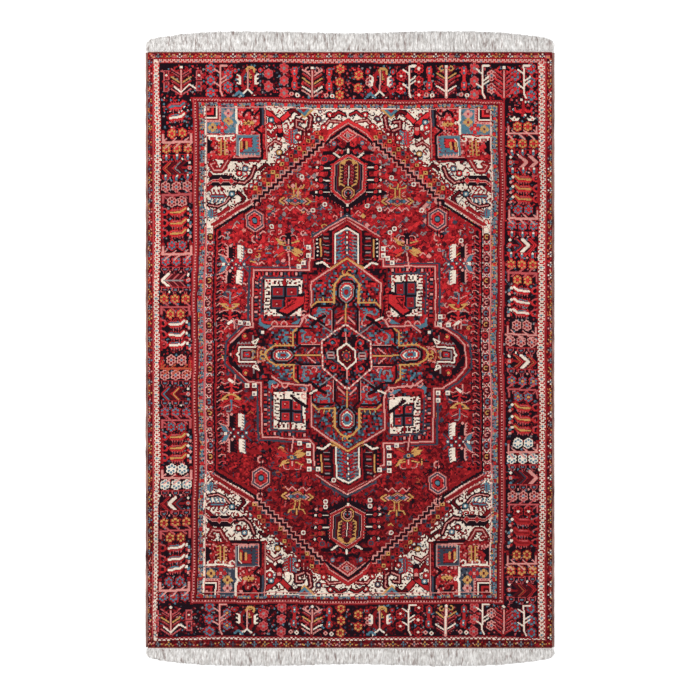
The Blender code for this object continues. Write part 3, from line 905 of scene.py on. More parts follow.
def crossed_flower(pen, navy_top):
    """Four lilies crossed on one middle, under a navy or red cap."""
    for flip in (False, True):
        half = pen.at(0, 0, flip_a=flip)
        half.area(((3, -2), (12, -8), (20, -7), (17, -3), (8, 1)), "gold" if not flip else "bright")
        half.area(((3, -4), (10, -11), (16, -12), (12, -8)), "gold" if not flip else "orange")
        half.area(((3, 3), (8, 5), (12, 12), (18, 14), (12, 4)), "bright" if not flip else "gold")
        half.line(((5, 7), (14, 9)), 1.7, "gold")
        half.curl(7, 12, 4.5, 200, -220, 1.8, "navy" if navy_top else "bright")
        half.curl(7, 11, 6.2, 180, -190, 1.2, "pink", shrink=0.2)
        half.dot(5, 0, 2.2, "steel")
    pen.box(-3, 5, 3, 17, "navy" if navy_top else "bright")
    pen.box(-5, 17, 5, 20, "navy" if navy_top else "maroon")
    pen.line(((0, 6), (0, 11)), 1.7, "pink")
    pen.box(-4, -18, 4, -7, "maroon")
    bead(pen, "slate", "gold", "maroon", 3.2)
    pen.line(((0, -8), (2, -22), (3, -28)), 1.8, "pink")


PENDANT = {   # measures of the far and the near pendant, along v
    1: {"tips": (269, 199), "shoulders": (256, 217), "ring": 215, "bars": (249, 232, 215.5),
        "stem": (198, 178)},
    -1: {"tips": (-268, -208), "shoulders": (-254, -220), "ring": -221, "bars": (-254, -238, -221.5),
         "stem": (-207, -188)},
}


def pendant(pen, end):
    """The cartouche that hangs off each tip of the medallion, with its prongs."""
    sizes = PENDANT[end]
    tip, waist = sizes["tips"]
    high, low = sizes["shoulders"]
    body = pen.at(-3.5, 0)
    for side, half in body.halves():
        half.area(((0, tip + 4 * end), (18, high + 4 * end), (28, high), (28, low), (14, waist + 2 * end),
                   (0, waist - 8 * end)), "navy")
        half.line(((2, waist - 4 * end), (26, low - 7 * end), (50, low - 4 * end)), 4.6, "navy")
        for share in np.linspace(0.06, 0.96, 9):
            a, b = 48 * share, waist - 4 * end + (low - waist - 1 * end) * min(1, share * 1.5)
            half.line(((a, b), (a - 1, b - 6 * end)), 2.0, "navy")
        for bar in sizes["bars"]:
            half.area(((26, bar + 5), (38, bar + 4.5), (51, bar), (38, bar - 4.5), (26, bar - 5)), "navy")
            half.line(((25, bar), (33, bar)), 1.8, "ivory")
            bead(half.at(37, bar), "bright", "red", "red", 2.8)
            half.dot(43, bar, 1.5, "ivory")
            for shift in (-8, 8):
                half.dot(36, bar + shift, 2.8, "bright")
                half.dot(42, bar + shift, 2.0, "pink" if shift > 0 else "bright")
    for inset, dye in ((-1.0, "pink"), (0, "bright"), (3.4, "pink"), (4.4, "navy"), (5.6, "steel"),
                       (7.2, "maroon"), (9.0, "wine")):
        half = 22.5 - inset
        points = [(0, tip - end * inset * 1.2)]
        points += [(half, high - end * inset * 0.5), (half, low + end * inset * 0.5),
                   (0, waist + end * inset * 1.2)]
        points += [(-half, low + end * inset * 0.5), (-half, high - end * inset * 0.5)]
        body.area(points, dye)
    for side, half in body.halves():
        for b in np.arange(min(high, low) + 3, max(high, low) - 1, 4.2):
            half.area(((22, b - 1.6), (26, b), (22, b + 1.6)), "bright")
        half.line(((12, low + 12 * end), (12, high - 1 * end), (5, tip - 10 * end), (0, tip - 8 * end)), 1.4,
                  "gold")
        half.area(((12, high), (6, high - 3 * end), (3, high + 4 * end), (6, high + 5 * end)), "gold")
        for b in np.arange(min(high - 2 * end, low + 10 * end), max(high - 2 * end, low + 10 * end), 4.6):
            half.area(((12, b - 1.8), (7.4, b), (12, b + 1.8)), "gold")
            half.line(((6, b), (2.4, b + 2)), 1.3, "red" if end > 0 else "bright")
            half.line(((6, b + 2.2), (3, b + 3.8)), 1.0, "rose")
        half.line(((12, low + 12 * end), (4, low + 7 * end)), 1.8, "gold")
    body.line(((0, high - 5 * end), (0, low + 9 * end)), 1.7, "ivory")
    for radius, dye in ((10.4, "wine"), (8.8, "gold"), (7.2, "maroon"), (5.8, "pink"), (4.7, "navy"),
                        (1.8, "red")):
        body.dot(0, sizes["ring"], radius, dye)
    body.dot(0, sizes["ring"] - 7.5 * end, 2.6, "wine")
    for side in (-1, 1):
        body.dot(2.6 * side, sizes["ring"] + 1, 1.2, "slate")
    start, stop = sizes["stem"]
    body.box(-5, min(start, stop), 5, max(start, stop), "navy")
    for number, b in enumerate(np.linspace(start, stop, 4)):
        body.dot(0, b, 1.9, "ivory" if number % 2 == 0 else "red")
    body.line(((0, tip), (0, tip + 15 * end)), 5.0, "navy")
    body.line(((0, tip), (0, tip + 9 * end)), 2.2, "ivory")
    for side, half in body.halves():
        half.line(((4, tip + 1 * end), (14, tip - 4 * end), (24, tip + 1 * end), (33, tip)), 4.8, "navy")
        half.line(((12, tip - 4 * end), (22, tip - 12 * end), (30, tip - 14 * end)), 4.2, "navy")
        half.line(((13, tip - 5 * end), (20, tip)), 2.4, "ivory")
        half.line(((0, tip + 9 * end), (8, tip + 6 * end), (14, tip + 10 * end), (17, tip + 6 * end)), 4.0,
                  "navy")
        bead(half.at(33, tip - 8 * end), "bright", "steel", "red", 5.0)
        bead(half.at(19, tip + 14 * end), "red", "slate", "pink", 4.2)
        half.curl(10, tip + 2 * end, 3.4, 90, 200, 1.6, "bright")
    finial = body.at(0, tip + 25 * end)
    for scale, dye in ((1.0, "pink"), (0.86, "bright"), (0.56, "pink"), (0.44, "maroon")):
        finial.area(np.array(((-14, 0), (0, 10), (14, 0), (0, -10))) * scale, dye)
    bead(finial, "pink", "slate", "gold", 3.0)


# ---------------------------------------------------------------- the medallion
MEDALLION_LEFT = ((-4, 179), (-49, 150), (-49, 125), (-55, 125), (-55, 109), (-130, 109), (-130, 31),
                  (-140, 30), (-160, 10), (-162, -18), (-137, -43), (-120, -44), (-119, -118), (-56, -119),
                  (-50, -126), (-50, -154), (-38, -154), (-38, -172), (-6, -190))
MEDALLION_RIGHT = ((-4, 179), (39, 148), (39, 124), (45, 124), (45, 114), (115, 114), (117, 32), (128, 31),
                   (146, 20), (157, 8), (158, -22), (140, -42), (124, -52), (112, -52), (112, -124),
                   (45, -124), (45, -154), (31, -156), (31, -172), (-4, -190))
CROSS_LEFT = ((-4, 126), (-52, 93), (-50, 50), (-60, 46), (-66, 33), (-102, 33), (-108, 28), (-110, 12),
              (-121, 6), (-125, 0), (-125, -14), (-117, -20), (-115, -28), (-92, -44), (-52, -46),
              (-52, -101), (-4, -136))
CROSS_RIGHT = ((-4, 126), (42, 92), (42, 46), (50, 42), (54, 33), (86, 33), (100, 22), (105, 6), (115, 0),
               (119, -6), (115, -16), (103, -26), (101, -38), (88, -48), (54, -49), (46, -56), (47, -105),
               (-4, -136))
MEDALLION_MIDDLE = (-4, -6)


def joined(left, right):
    """One outline from the two sides' points, each side from its far end to its near end."""
    return (*left, *right[::-1])


def panel(pen, wide, tall, rng, banded):
    """A toothed ivory frame round four small squares, on a pen at the medallion's outer corner."""
    pen.box(2, 2, wide + 24, tall + 22, "maroon")
    pen.mottle(((2, 2), (wide + 22, 2), (wide + 22, tall + 20), (2, tall + 20)),
               ("maroon", "red", "red", "navy", "steel"), rng)
    for turn, reach in ((False, tall + 16), (True, wide + 14)):
        side = pen.at(0, 0, turn=turn)
        for number, along in enumerate(np.arange(4, reach, 5.0)):
            side.box(2, along, 7, along + 2.2, "navy")
            side.box(3.4, along + 2.2, 6.8, along + 5.0, ("bright", "red", "pink", "steel")[number % 4])
            side.box(8.6, along + 1, 11, along + 3, "pink" if number % 2 else "bright")
    pen.line(((12, tall + 12), (12, 10.4), (wide + 16, 10.4)), 2.0, "steel")
    pen.line(((12, tall + 18), (11, tall + 24), (20, tall + 27), (wide, tall + 27), (wide + 16, tall + 18)),
             5.4, "slate")
    pen.line(((13, tall + 12), (14, tall + 20), (22, tall + 21), (wide - 4, tall + 21),
              (wide + 4, tall + 25)), 3.4, "bright")
    block = pen.at(16.5, 12)
    block.mottle(((0, 0), (wide, 0), (wide, tall), (0, tall)), ("ivory",) * 9 + ("pink", "red", "wine"), rng,
                 cell=2.2)
    for along in np.arange(11, tall - 8, 4.6):
        block.box(0.6, along, 6.4, along + 1.7, "wine")
    for along in np.arange(12, wide - 14, 5.4):
        block.box(along, 2.4, along + 2.2, 7.4, "wine")
    block.box(wide * 0.48, 0, wide * 0.48 + 3.2, 9, "red")
    for a, b in ((2.5, 2.5), (6.5, 6.5), (6.5, 2.5), (2, tall - 4), (5, tall - 9), (9, tall - 5),
                 (wide - 5, 4), (wide - 3, 9), (13, tall - 3), (wide - 16, tall - 3), (wide - 8, tall - 7),
                 (wide - 4, tall - 12), (wide - 5, 16)):
        block.box(a - 1.5, b - 1.3, a + 1.5, b + 1.3, rng.choice(("wine", "navy", "bright")))
    squares = block.at(8, 9)
    inner_a, inner_b = wide - 12, tall - 18
    squares.box(0, 0, inner_a, inner_b, "navy")
    half_a, half_b = inner_a / 2, inner_b / 2
    for a in (0, 1):
        for b in (0, 1):
            cell = squares.at(half_a * (a + 0.5), half_b * (b + 0.5))
            cell.box(-half_a / 2 + 1.5, -half_b / 2 + 1.5, half_a / 2 - 1.5, half_b / 2 - 1.5, "steel")
            cell.box(-half_a / 2 + 3, -half_b / 2 + 3, half_a / 2 - 3, half_b / 2 - 3,
                     "red" if banded else "bright")
            cell.curl(0, 0, 3.2, 40, 230, 1.2, "maroon")
            cell.dot(-1, 1, 1.1, "pink")
    if banded:
        squares.line(((inner_a, inner_b * 0.46), (inner_a + 6, inner_b * 0.40),
                      (inner_a + 7, inner_b * 0.72), (inner_a * 0.62, inner_b + 7),
                      (inner_a * 0.28, inner_b + 2)), 6.4, "navy")
        squares.area(((inner_a * 0.5, inner_b * 0.5), (inner_a + 7, inner_b * 0.45),
                      (inner_a + 7, inner_b * 0.75), (inner_a * 0.6, inner_b + 6),
                      (inner_a * 0.3, inner_b + 2), (inner_a * 0.55, inner_b * 0.85)), "bright")
        squares.loop(((inner_a * 0.58, inner_b * 0.56), (inner_a * 0.9, inner_b * 0.56),
                      (inner_a * 0.62, inner_b * 0.9)), 1.7, "maroon")
        squares.dot(inner_a * 0.66, inner_b * 0.64, 1.5, "navy")
        squares.line(((inner_a * 0.5, inner_b * 0.98), (inner_a * 0.85, inner_b * 0.74)), 1.5, "maroon")
    else:
        cut = (inner_a + 5, inner_b - 10)
        squares.area((cut, (inner_a + 5, inner_b + 10), (6, inner_b + 10), (inner_a * 0.4, inner_b + 1)),
                     "ivory")
        squares.line((cut, (inner_a * 0.5, inner_b + 4)), 4.6, "navy")
        squares.area(((inner_a * 0.56, inner_b * 0.56), (inner_a - 2, inner_b * 0.56),
                      (inner_a * 0.56, inner_b - 2)), "bright")
        squares.dot(inner_a * 0.68, inner_b * 0.68, 2.0, "maroon")
        speckle(squares, rng, (inner_a * 0.5, inner_b), (inner_a, inner_b + 9), 7, ("wine", "navy"),
                (1.0, 1.6))
    tip = block.at(wide + 4, tall - 4)
    for b in np.arange(-tall + 20, -6, 4.6):
        tip.area(((0, b), (5, b + 2.2), (0, b + 4.2)), "bright")


def c_hooks(pen, low, high, rng):
    """A column of dark C hooks, one over another."""
    pen.mottle(((-8, low), (8, low), (8, high), (-8, high)), ("navy", "navy", "maroon", "maroon", "wine"),
               rng)
    for b in np.arange(low + 5, high - 3, 9.5):
        pen.line(((5, b - 3), (-4, b - 3), (-5, b + 3), (4, b + 4)), 2.6, "navy")
        pen.line(((5, b), (0, b)), 2.4, "red")
        pen.line(((6, b - 5.4), (-1, b - 5.6)), 1.2, "grey")


def shield(pen, end, base, rng):
    """The head of the medallion over one end of the cross: a ribbed hull between hooked columns."""
    body = pen.at(-4, 0, flip_b=end < 0)
    body.mottle(((-45, base + 6), (-45, base + 32), (0, base + 56), (43, base + 32), (43, base + 6),
                 (30, base - 12), (-34, base - 12)), ("navy", "navy", "navy", "maroon", "red"), rng)
    hull = ((-16, base), (-16, base + 39), (0, base + 48), (15, base + 39), (15, base))
    for side, half in body.halves():
        c_hooks(half.at(26, 0), base + 6, base + 45, rng)
        half.line(((36, base + 9), (36, base + 32)), 1.8, "gold")
        half.box(38, base + 6, 43, base + 33, "navy")
        for b in np.arange(base + 10, base + 32, 5.4):
            half.dot(40.6, b, 1.2, "ivory" if end > 0 else "bright")
        half.line(((19, base + 2), (19, base + 42), (0, base + 54)), 2.6, "red")
        half.line(((44, base + 34), (24, base + 48), (0, base + 61)), 3.4, "red")
        half.line(((44, base + 35.6), (24, base + 49.6), (0, base + 62.6)), 1.6, "pink")
        half.line(((24, base - 6), (33, base + 1), (41, base - 1)), 2.6, "ivory")
        half.line(((0, base + 6), (22, base - 5)), 2.0, "gold")
    body.mottle((*hull, (0, base + 4)), ("steel", "slate", "steel", "red", "maroon", "red"), rng)
    for side, half in body.halves():
        for b in np.arange(base + 6, base + 42, 4.7):
            half.line(((14, b), (8, b + 1.2)), 1.5, "slate" if side < 0 else "grey")
            half.line(((8, b - 1), (3.4, b + 1.6)), 1.8, "bright")
    for b in np.arange(base + 8, base + 44, 6.8):
        body.dot(0, b, 2.4, "maroon")
        body.dot(0, b, 1.4, "ivory")
    body.line(hull, 2.3, "ivory")
    body.line(((-9, base + 1), (0, base + 6), (9, base + 1)), 1.8, "gold")
    body.area(((0, base - 12), (-7, base - 5), (0, base + 2), (7, base - 5)), "navy")
    body.dot(0, base - 5, 3.2, "ivory")
    body.dot(0, base - 5, 1.4, "maroon")


def cross_arm(pen, broad, rng):
    """One arm of the cross, on a pen with b along the arm; broad stretches it across."""
    def across(points):
        return [(a * broad, b) for a, b in points]

    pen.mottle(across(((-13, 32), (13, 32), (13, 68), (-13, 68))),
               ("maroon", "maroon", "wine", "red", "steel"), rng)
    for side, half in pen.halves():
        for b in np.arange(36, 66, 5.0):
            half.line(across(((1, b), (9, b - 4))), 1.2, "bright")
        half.line(across(((10, 43), (2.5, 53))), 1.7, "pink")
        half.line(across(((13, 34), (13, 62), (7, 70), (11, 76))), 3.0, "navy")
        half.line(across(((14.4, 60), (14.4, 34))), 1.2, "pink")
        half.mottle(across(((15, 36), (30, 44), (37, 56), (33, 66), (15, 66))),
                    ("bright", "bright", "red", "red", "slate"), rng)
        half.line(across(((15, 66.5), (31, 66.5), (36.5, 62), (37, 48))), 2.8, "navy")
        half.curl(24 * broad, 52, 7.0, 30, 290, 1.6, "grey", shrink=0.7)
        half.curl(20 * broad, 44, 4.0, 120, 200, 1.6, "pink", shrink=0.3)
        half.line(across(((19, 58), (27, 60), (31, 55))), 1.8, "slate")
        half.line(across(((13, 72), (31, 72), (36, 66))), 2.3, "gold")
        for a, rise in ((18, 4), (23.5, 6), (29, 4)):
            half.line(across(((a, 72), (a + 1.0, 72 + rise))), 1.4, "gold")
        half.line(across(((13, 71), (13, 97), (6, 108), (0, 110))), 2.3, "gold")
        for b in (76, 82, 88, 94):
            half.line(across(((13, b), (15.5, b + 2))), 1.6, "gold")
    shape = ((0, 68), (-7, 74), (-10.5, 80), (-10.5, 96), (-5, 103), (5, 103), (10.5, 96), (10.5, 80),
             (7, 74))
    for scale, dye in ((1.0, "navy"), (0.76, "grey"), (0.68, "bright"), (0.5, "ivory"), (0.42, "slate"),
                       (0.2, "red")):
        pen.area([(a * scale * broad, 86 + (b - 86) * (scale + (0.06 if scale < 1 else 0)))
                  for a, b in shape], dye)
    for side in (-1, 1):
        for b in np.arange(78, 98, 4.2):
            pen.line(across(((3.6 * side, b), (6.0 * side, b + 2))), 1.5, "bright")
    pen.line(((0, 33), (0, 70)), 1.7, "gold")
    for side in (-1, 1):
        pen.curl(side * 3.2, 113, 3.2, 90 - 40 * side, 250, 1.3, "gold", shrink=0.2)


def heart(pen, rng):
    """The dark rosette in the middle, spotted red, in a beaded frame."""
    rim = ((-33, 19), (-33, -17), (0, -46), (33, -17), (33, 19), (0, 43))
    pen.mottle(rim, ("navy",) * 5 + ("maroon", "red", "bright", "steel"), rng)
    pen.loop(rim, 3.6, "red")
    pen.loop(rim, 1.9, "pink")
    for start, end in zip(rim, (*rim[1:], rim[0])):
        for share in np.linspace(0.08, 0.92, 6):
            pen.dot(*(np.array(start) * (1 - share) + np.array(end) * share), 1.3, "ivory")
    for flip_a in (False, True):
        for flip_b in (False, True):
            part = pen.at(0, 0, flip_a=flip_a, flip_b=flip_b)
            part.curl(19, 17, 6, 200, -260, 2.0, "bright", shrink=0.5)
            part.dot(19, 17, 1.8, "slate")
            part.line(((4, 22), (9, 28), (15, 25)), 1.8, "navy")
            part.line(((13, 13), (22, 8)), 1.6, "red")
        part = pen.at(0, 0, flip_a=flip_a)
        part.box(16, -5, 27, 5, "maroon")
        part.loop(((17, -4), (26, -4), (26, 4), (17, 4)), 1.2, "grey")
        part.line(((19, 0), (25, 0)), 1.5, "pink")
        part = pen.at(0, 0, flip_b=flip_a)
        part.line(((0, 18), (0, 31)), 1.7, "pink")
        part.dot(0, 35, 2.2, "slate")
    hexagon = ((-12, 7), (-12, -7.5), (0, -17.5), (12, -7.5), (12, 7), (0, 17))
    pen.area(hexagon, "maroon")
    pen.loop(hexagon, 2.4, "ivory")
    for scale, dye in ((0.66, "navy"), (0.5, "red"), (0.34, "steel"), (0.2, "bright")):
        pen.area(np.array(hexagon) * scale, dye)
    for angle in np.radians(np.arange(0, 360, 45)):
        pen.dot(5.4 * np.cos(angle), 7.6 * np.sin(angle), 1.0,
                "gold" if np.sin(angle) ** 2 > 0.4 else "pink")


def end_box(pen, rng):
    """The ivory-edged box at the end of a side arm, with the hooks and flags beside it; a runs outwards."""
    for flip in (False, True):
        half = pen.at(0, 0, flip_b=flip)
        half.mottle(((-20, 34), (14, 34), (36, 14), (38, 0), (30, 10), (-2, 10), (-16, 12)),
                    ("navy", "navy", "navy", "maroon", "red"), rng)
        half.line(((10, 33), (36, 11), (37, 4)), 5.0, "navy")
        half.area(((3, 11), (3, 22), (10, 30), (24, 18), (24, 12)), "maroon")
        half.line(((5, 26), (5, 14)), 1.3, "grey")
        for a in np.arange(8, 26, 4.6):
            half.line(((a, 13), (a + 2.3, 16.5), (a + 4.6, 13)), 1.4, "grey")
        half.curl(16, 25, 4.2, 220, 250, 1.9, "bright", shrink=0.3)
        half.dot(16, 25, 1.6, "gold")
        half.line(((-2, 21), (2, 13), (6, 17), (-2, 21)), 1.6, "ivory")
        half.line(((-8, 27), (-4, 33)), 3.0, "steel")
        half.dot(-8, 30, 2.2, "ivory" if not flip else "bright")
        half.line(((-10, 8), (-1, 11)), 1.6, "pink")
    pen.mottle(((0, -10), (24, -10), (24, 10), (0, 10)), ("maroon", "maroon", "red", "steel", "wine"), rng)
    pen.loop(((6, -6), (21, -6), (21, 6), (6, 6)), 1.4, "grey")
    pen.box(10, -3, 18, 3, "bright")
    pen.box(12, -1, 16, 1, "slate")
    pen.line(((2, 10.4), (24.5, 10.4), (25, 3), (28, 0), (25, -3), (24.5, -10.4), (2, -10.4)), 2.0, "ivory")
    pen.line(((2, 13.4), (27, 13.4), (31, 0), (27, -13.4), (2, -13.4)), 1.6, "red")
    for side in (-1, 1):
        pen.line(((-9, 10 * side), (-1, 8 * side), (1, 2 * side), (0, 0)), 1.3, "orange")
        pen.curl(-6, 3 * side, 2.6, -90 * side, 230 * side, 1.1, "gold", shrink=0.3)
        pen.curl(6, 3 * side, 2.6, 180, -180 * side, 1.1, "gold", shrink=0.3)


def shoulder(pen):
    """The black crossed marks, white bar and pink scrolls where two arms of the cross meet."""
    pen.line(((-10, 4), (-2, 0), (12, -12), (24, -20)), 1.6, "grey")
    pen.line(((-7, -7), (0, 0), (10, 5)), 4.4, "navy")
    pen.line(((-8, 5), (0, -1), (9, -6)), 3.6, "navy")
    pen.line(((-11, 5), (-2, 1)), 2.4, "ivory")
    for b, start in ((8, 40), (0, -60)):
        pen.curl(-19, b, 4.6, start, 300, 1.6, "pink", shrink=0.7)
    for a in (-58, -45):
        pen.curl(a, -6, 3.6, 190, -200, 2.0, "pink", shrink=0.0)


def draw_medallion(pen, rng):
    """The stepped medallion, its cross, panels, shields and heart."""
    outline = joined(MEDALLION_LEFT, MEDALLION_RIGHT)
    middle = np.array(MEDALLION_MIDDLE)
    around = [(middle + (np.array(point) - middle) * (1.045, 1.035)).tolist() for point in outline]
    pen.loop(around, 2.6, "steel")
    pen.mottle(outline, ("navy", "navy", "maroon", "red"), rng)
    pen.loop(outline, 6.0, "red")
    pen.loop(outline, 1.9, "pink")
    for a, b, wide, tall, banded in ((-130, 109, 50, 50, True), (115, 114, 42, 56, True),
                                     (-119, -118, 43, 50, False), (111, -123, 40, 48, False)):
        panel(pen.at(a, b, flip_a=a > 0, flip_b=b > 0), wide, tall, rng, banded)
    shield(pen, 1, 119, rng)
    shield(pen, -1, 131, rng)
    cross_shape = joined(CROSS_LEFT, CROSS_RIGHT)
    pen.mottle(cross_shape, ("slate", "steel", "steel", "red", "maroon", "maroon", "red", "navy", "bright"),
               rng)
    pen.loop(cross_shape, 6.0, "red")
    pen.loop(cross_shape, 2.1, "pink")
    for end in (1, -1):
        tip = 126 if end > 0 else -136
        pen.line(((-26, tip - 14 * end), (-4, tip), (18, tip - 14 * end)), 2.2, "gold")
    a, b = MEDALLION_MIDDLE
    for side in (1, -1):
        end_box(Pen(pen.knots, *pen.place((a + 121 * side, b)), (side, 0), (0, 1)), rng)
    for steps, broad in ((((1, 0), (0, 1)), 1.28), (((1, 0), (0, -1)), 1.28), (((0, 1), (1, 0)), 1.0),
                         (((0, 1), (-1, 0)), 1.0)):
        cross_arm(Pen(pen.knots, *pen.place((a, b)), *steps), broad, rng)
    heart(pen.at(a, b), rng)
    for a, b in ((-42, 42), (35, 41), (-43, -52), (36, -52)):
        shoulder(pen.at(a, b, flip_a=a > 0, flip_b=b < 0))


def draw_field(pen, rng):
    """Everything within the borders."""
    field_ground(pen, rng)
    for number, quarter in enumerate(corners(pen)):
        spandrel(quarter, rng, number % 2 == 0)
        corner_box(quarter, rng, "steel" if number % 2 else "slate")
    for side in (True, False):
        side_strip(pen.at(-2.5, 0, flip_a=side), rng)
    pen.loop(ring_round(np.array(FIELD) + (1.5, -0.5, -0.5, 1.0)), 1.1, "pink")
    for end in (1, -1):
        pendant(pen, end)
    draw_medallion(pen, rng)
    for a, b in ((-74, 202), (63, 202), (-72, -197), (62, -198)):
        lamp(pen.at(a, b, flip_b=b < 0))
    for a, b in ((-129, 176), (118, 178), (-122, -173), (117, -180)):
        hexagon_flower(pen.at(a, b))
    for a, b, flip in ((-152, 116, False), (142, 117, True), (-150, -112, False), (141, -124, True)):
        feather_bars(pen.at(a, b, flip_a=flip))
    for a, b in ((-160, 50), (147, 50), (-160, -54), (147, -66)):
        dragonfly(pen.at(a, b, flip_b=b < 0))
    for a, b in ((-84, 139), (77, 139), (-80, -144), (78, -142)):
        crossed_flower(pen.at(a, b, flip_b=b < 0), navy_top=b > 0)
    for a, b in ((-57, 140), (-57, 129), (-63, 119), (-69, 114), (45, 138), (45, 129), (51, 125), (57, 119),
                 (-147, 37), (-136, 36), (123, 46), (123, 35), (135, 35), (-139, -48), (-129, -48),
                 (-129, -59), (118, -58), (131, -58), (118, -68), (-57, -127), (-57, -138), (-57, -148),
                 (-57, -159), (-45, -159), (-69, -124), (52, -130), (52, -141), (52, -151), (52, -161),
                 (39, -160), (63, -127)):
        checker(pen.at(a, b), "ivory", "grey", 2.9)
    for a, b in ((-136, 134), (-34, 199), (23, 197), (84, 226), (54, 160), (60, 165), (96, 190), (-34, -203),
                 (-34, -210), (26, -202), (26, -210), (-62, -246), (56, -246), (-24, -174), (150, 148),
                 (-106, 168), (40, 191), (-50, 190), (-66, 235), (54, 235)):
        bead(pen.at(a, b), "ivory", "grey", "bright", 3.0)


def is_dyed(knots, *dyes):
    """Which knots have one of some dyes."""
    return np.isin(knots, [DYE_NUMBER[dye] for dye in dyes])


def outlined(knots, rng):
    """Dark single-knot outlines on the red round the light motifs."""
    light = is_dyed(knots, "ivory", "pink", "gold", "slate", "grey", "orange")
    beside = np.zeros_like(light)
    for axis in (0, 1):
        for step in (-1, 1):
            beside |= np.roll(light, step, axis)
    chosen = is_dyed(knots, "red", "bright") & beside & (rng.random(knots.shape) < 0.5)
    return np.where(chosen, DYE_NUMBER["maroon"], knots)


def draw_cartoon():
    """The whole design as a dye number for each knot, rows from the near end."""
    knots = np.zeros((ROWS, COLUMNS), np.uint8)
    pen, rng = Pen(knots, 0, -1), np.random.default_rng(7)
    draw_borders(pen, rng)
    draw_field(pen, rng)
    return outlined(knots, rng)


FAR_TILT = 5.0             # knots by which the lines of the far border sink towards its right end
NEAR_LEAN = 3.4            # knots by which the left border leans outwards towards the near end
HELD_EDGE = 3              # knots beside every edge that keep to the cartoon


def woven(knots):
    """The cartoon as a hand-weaver keeps to it: lines wander by a knot or two."""
    v, u = np.mgrid[0:ROWS, 0:COLUMNS].astype(float)
    across, along = u / COLUMNS - 0.5, v - ROWS / 2
    tilt = FAR_TILT * (across + 0.5) * np.interp(along, (200, 336, 388), (0, 1, 0))
    wander_u = 1.1 * np.sin(along / 61 + 1) + 0.7 * np.sin(along / 23 + across * 4)
    wander_v = 0.9 * np.sin(u / 47 + 2) + 0.6 * np.sin(u / 19 + v / 90)
    edge = np.minimum(np.minimum(u, COLUMNS - 1 - u), np.minimum(v, ROWS - 1 - v))
    lean = NEAR_LEAN * np.clip(-along / 390, 0, 1) * np.clip(1 - (across + 0.5) / 0.22, 0, 1)
    hold = np.clip((edge - HELD_EDGE) / 12, 0, 1)
    row = np.clip(np.rint(v + (wander_v + tilt) * hold), 0, ROWS - 1).astype(int)
    col = np.clip(np.rint(u + (wander_u + lean) * hold), 0, COLUMNS - 1).astype(int)
    return knots[row, col]


DYE_LOTS = 26              # places along the rug where the dye's strength changes, drawn twice


def knot_colours(knots):
    """sRGB colour of each knot, 0 to 1, with the dye lots' bands and the wool's own unevenness."""
    rng = np.random.default_rng(11)
    palette = np.array(list(DYES.values()), float) / 255
    colours = palette[knots]
    along = np.linspace(-1, 1, ROWS)[:, None]
    bands = np.zeros(ROWS)
    for _ in range(2):
        places = np.sort(rng.uniform(0, ROWS, DYE_LOTS))
        bands += np.interp(np.arange(ROWS), places, rng.uniform(-1, 1, DYE_LOTS))
    red = is_dyed(knots, "red", "bright", "maroon", "orange")
    fade = 0.88 + 0.12 * np.tanh(along * 1.6 + 0.2) + 0.035 * bands[:, None]
    colours *= np.where(red, fade, 1 + 0.02 * bands[:, None])[..., None]
    colours *= 1 + rng.normal(0, 0.055, knots.shape)[..., None]
    colours += rng.normal(0, 0.008, (*knots.shape, 3))
    return np.clip(colours, 0, 1)


# ---------------------------------------------------------------- places from the frame
PILE_LOW, PILE_HIGH = (np.array(corner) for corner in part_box("wool_pile"))
CLOTH_LOW, CLOTH_HIGH = (np.array(corner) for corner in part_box("foundation"))
TAU = 2 * math.pi
# Painted shade: every pile colour is multiplied by this share, standing for the shade that deep tufts cast
# on each other.
PAINTED_PILE_SHADE = 0.72          # the share of light that the tips of deep tufts send back


# ---------------------------------------------------------------- mesh helpers
def mesh_object(name, points, faces, material):
    """A named object from points and faces, all in the rug's own frame."""
    mesh = bpy.data.meshes.new(name)
    mesh.from_pydata([tuple(point) for point in points], [], [tuple(face) for face in faces])
    mesh.polygons.foreach_set("use_smooth", np.ones(len(mesh.polygons), bool))
    mesh.materials.append(material)
    mesh.update()
    obj = bpy.data.objects.new(name, mesh)
    bpy.context.scene.collection.objects.link(obj)
    return obj


def colour_faces(obj, colours):
    """Give each face one sRGB colour, as the corner attribute dye."""
    mesh = obj.data
    counts = np.zeros(len(mesh.polygons), np.int32)
    mesh.polygons.foreach_get("loop_total", counts)
    attribute = mesh.color_attributes.new("dye", "BYTE_COLOR", "CORNER")
    full = np.column_stack((colours, np.ones(len(colours))))
    attribute.data.foreach_set("color_srgb", np.repeat(full, counts, axis=0).ravel())


def grid_quads(corner):
    """The quads of a grid, from the numbers of its points."""
    return np.stack((corner[:-1, :-1], corner[:-1, 1:], corner[1:, 1:], corner[1:, :-1]), -1).reshape(-1, 4)


def grid_rim(corner):
    """The numbers of a grid's outermost points, once round."""
    return np.concatenate((corner[0, :-1], corner[:-1, -1], corner[-1, :0:-1], corner[:0:-1, 0]))


def ring_quads(rings, sides):
    """The quads between rings of points that follow each other."""
    here = np.arange((rings - 1) * sides).reshape(-1, sides)
    after = np.roll(here, -1, 1)
    return np.stack((here, here + sides, after + sides, after), -1).reshape(-1, 4).tolist()


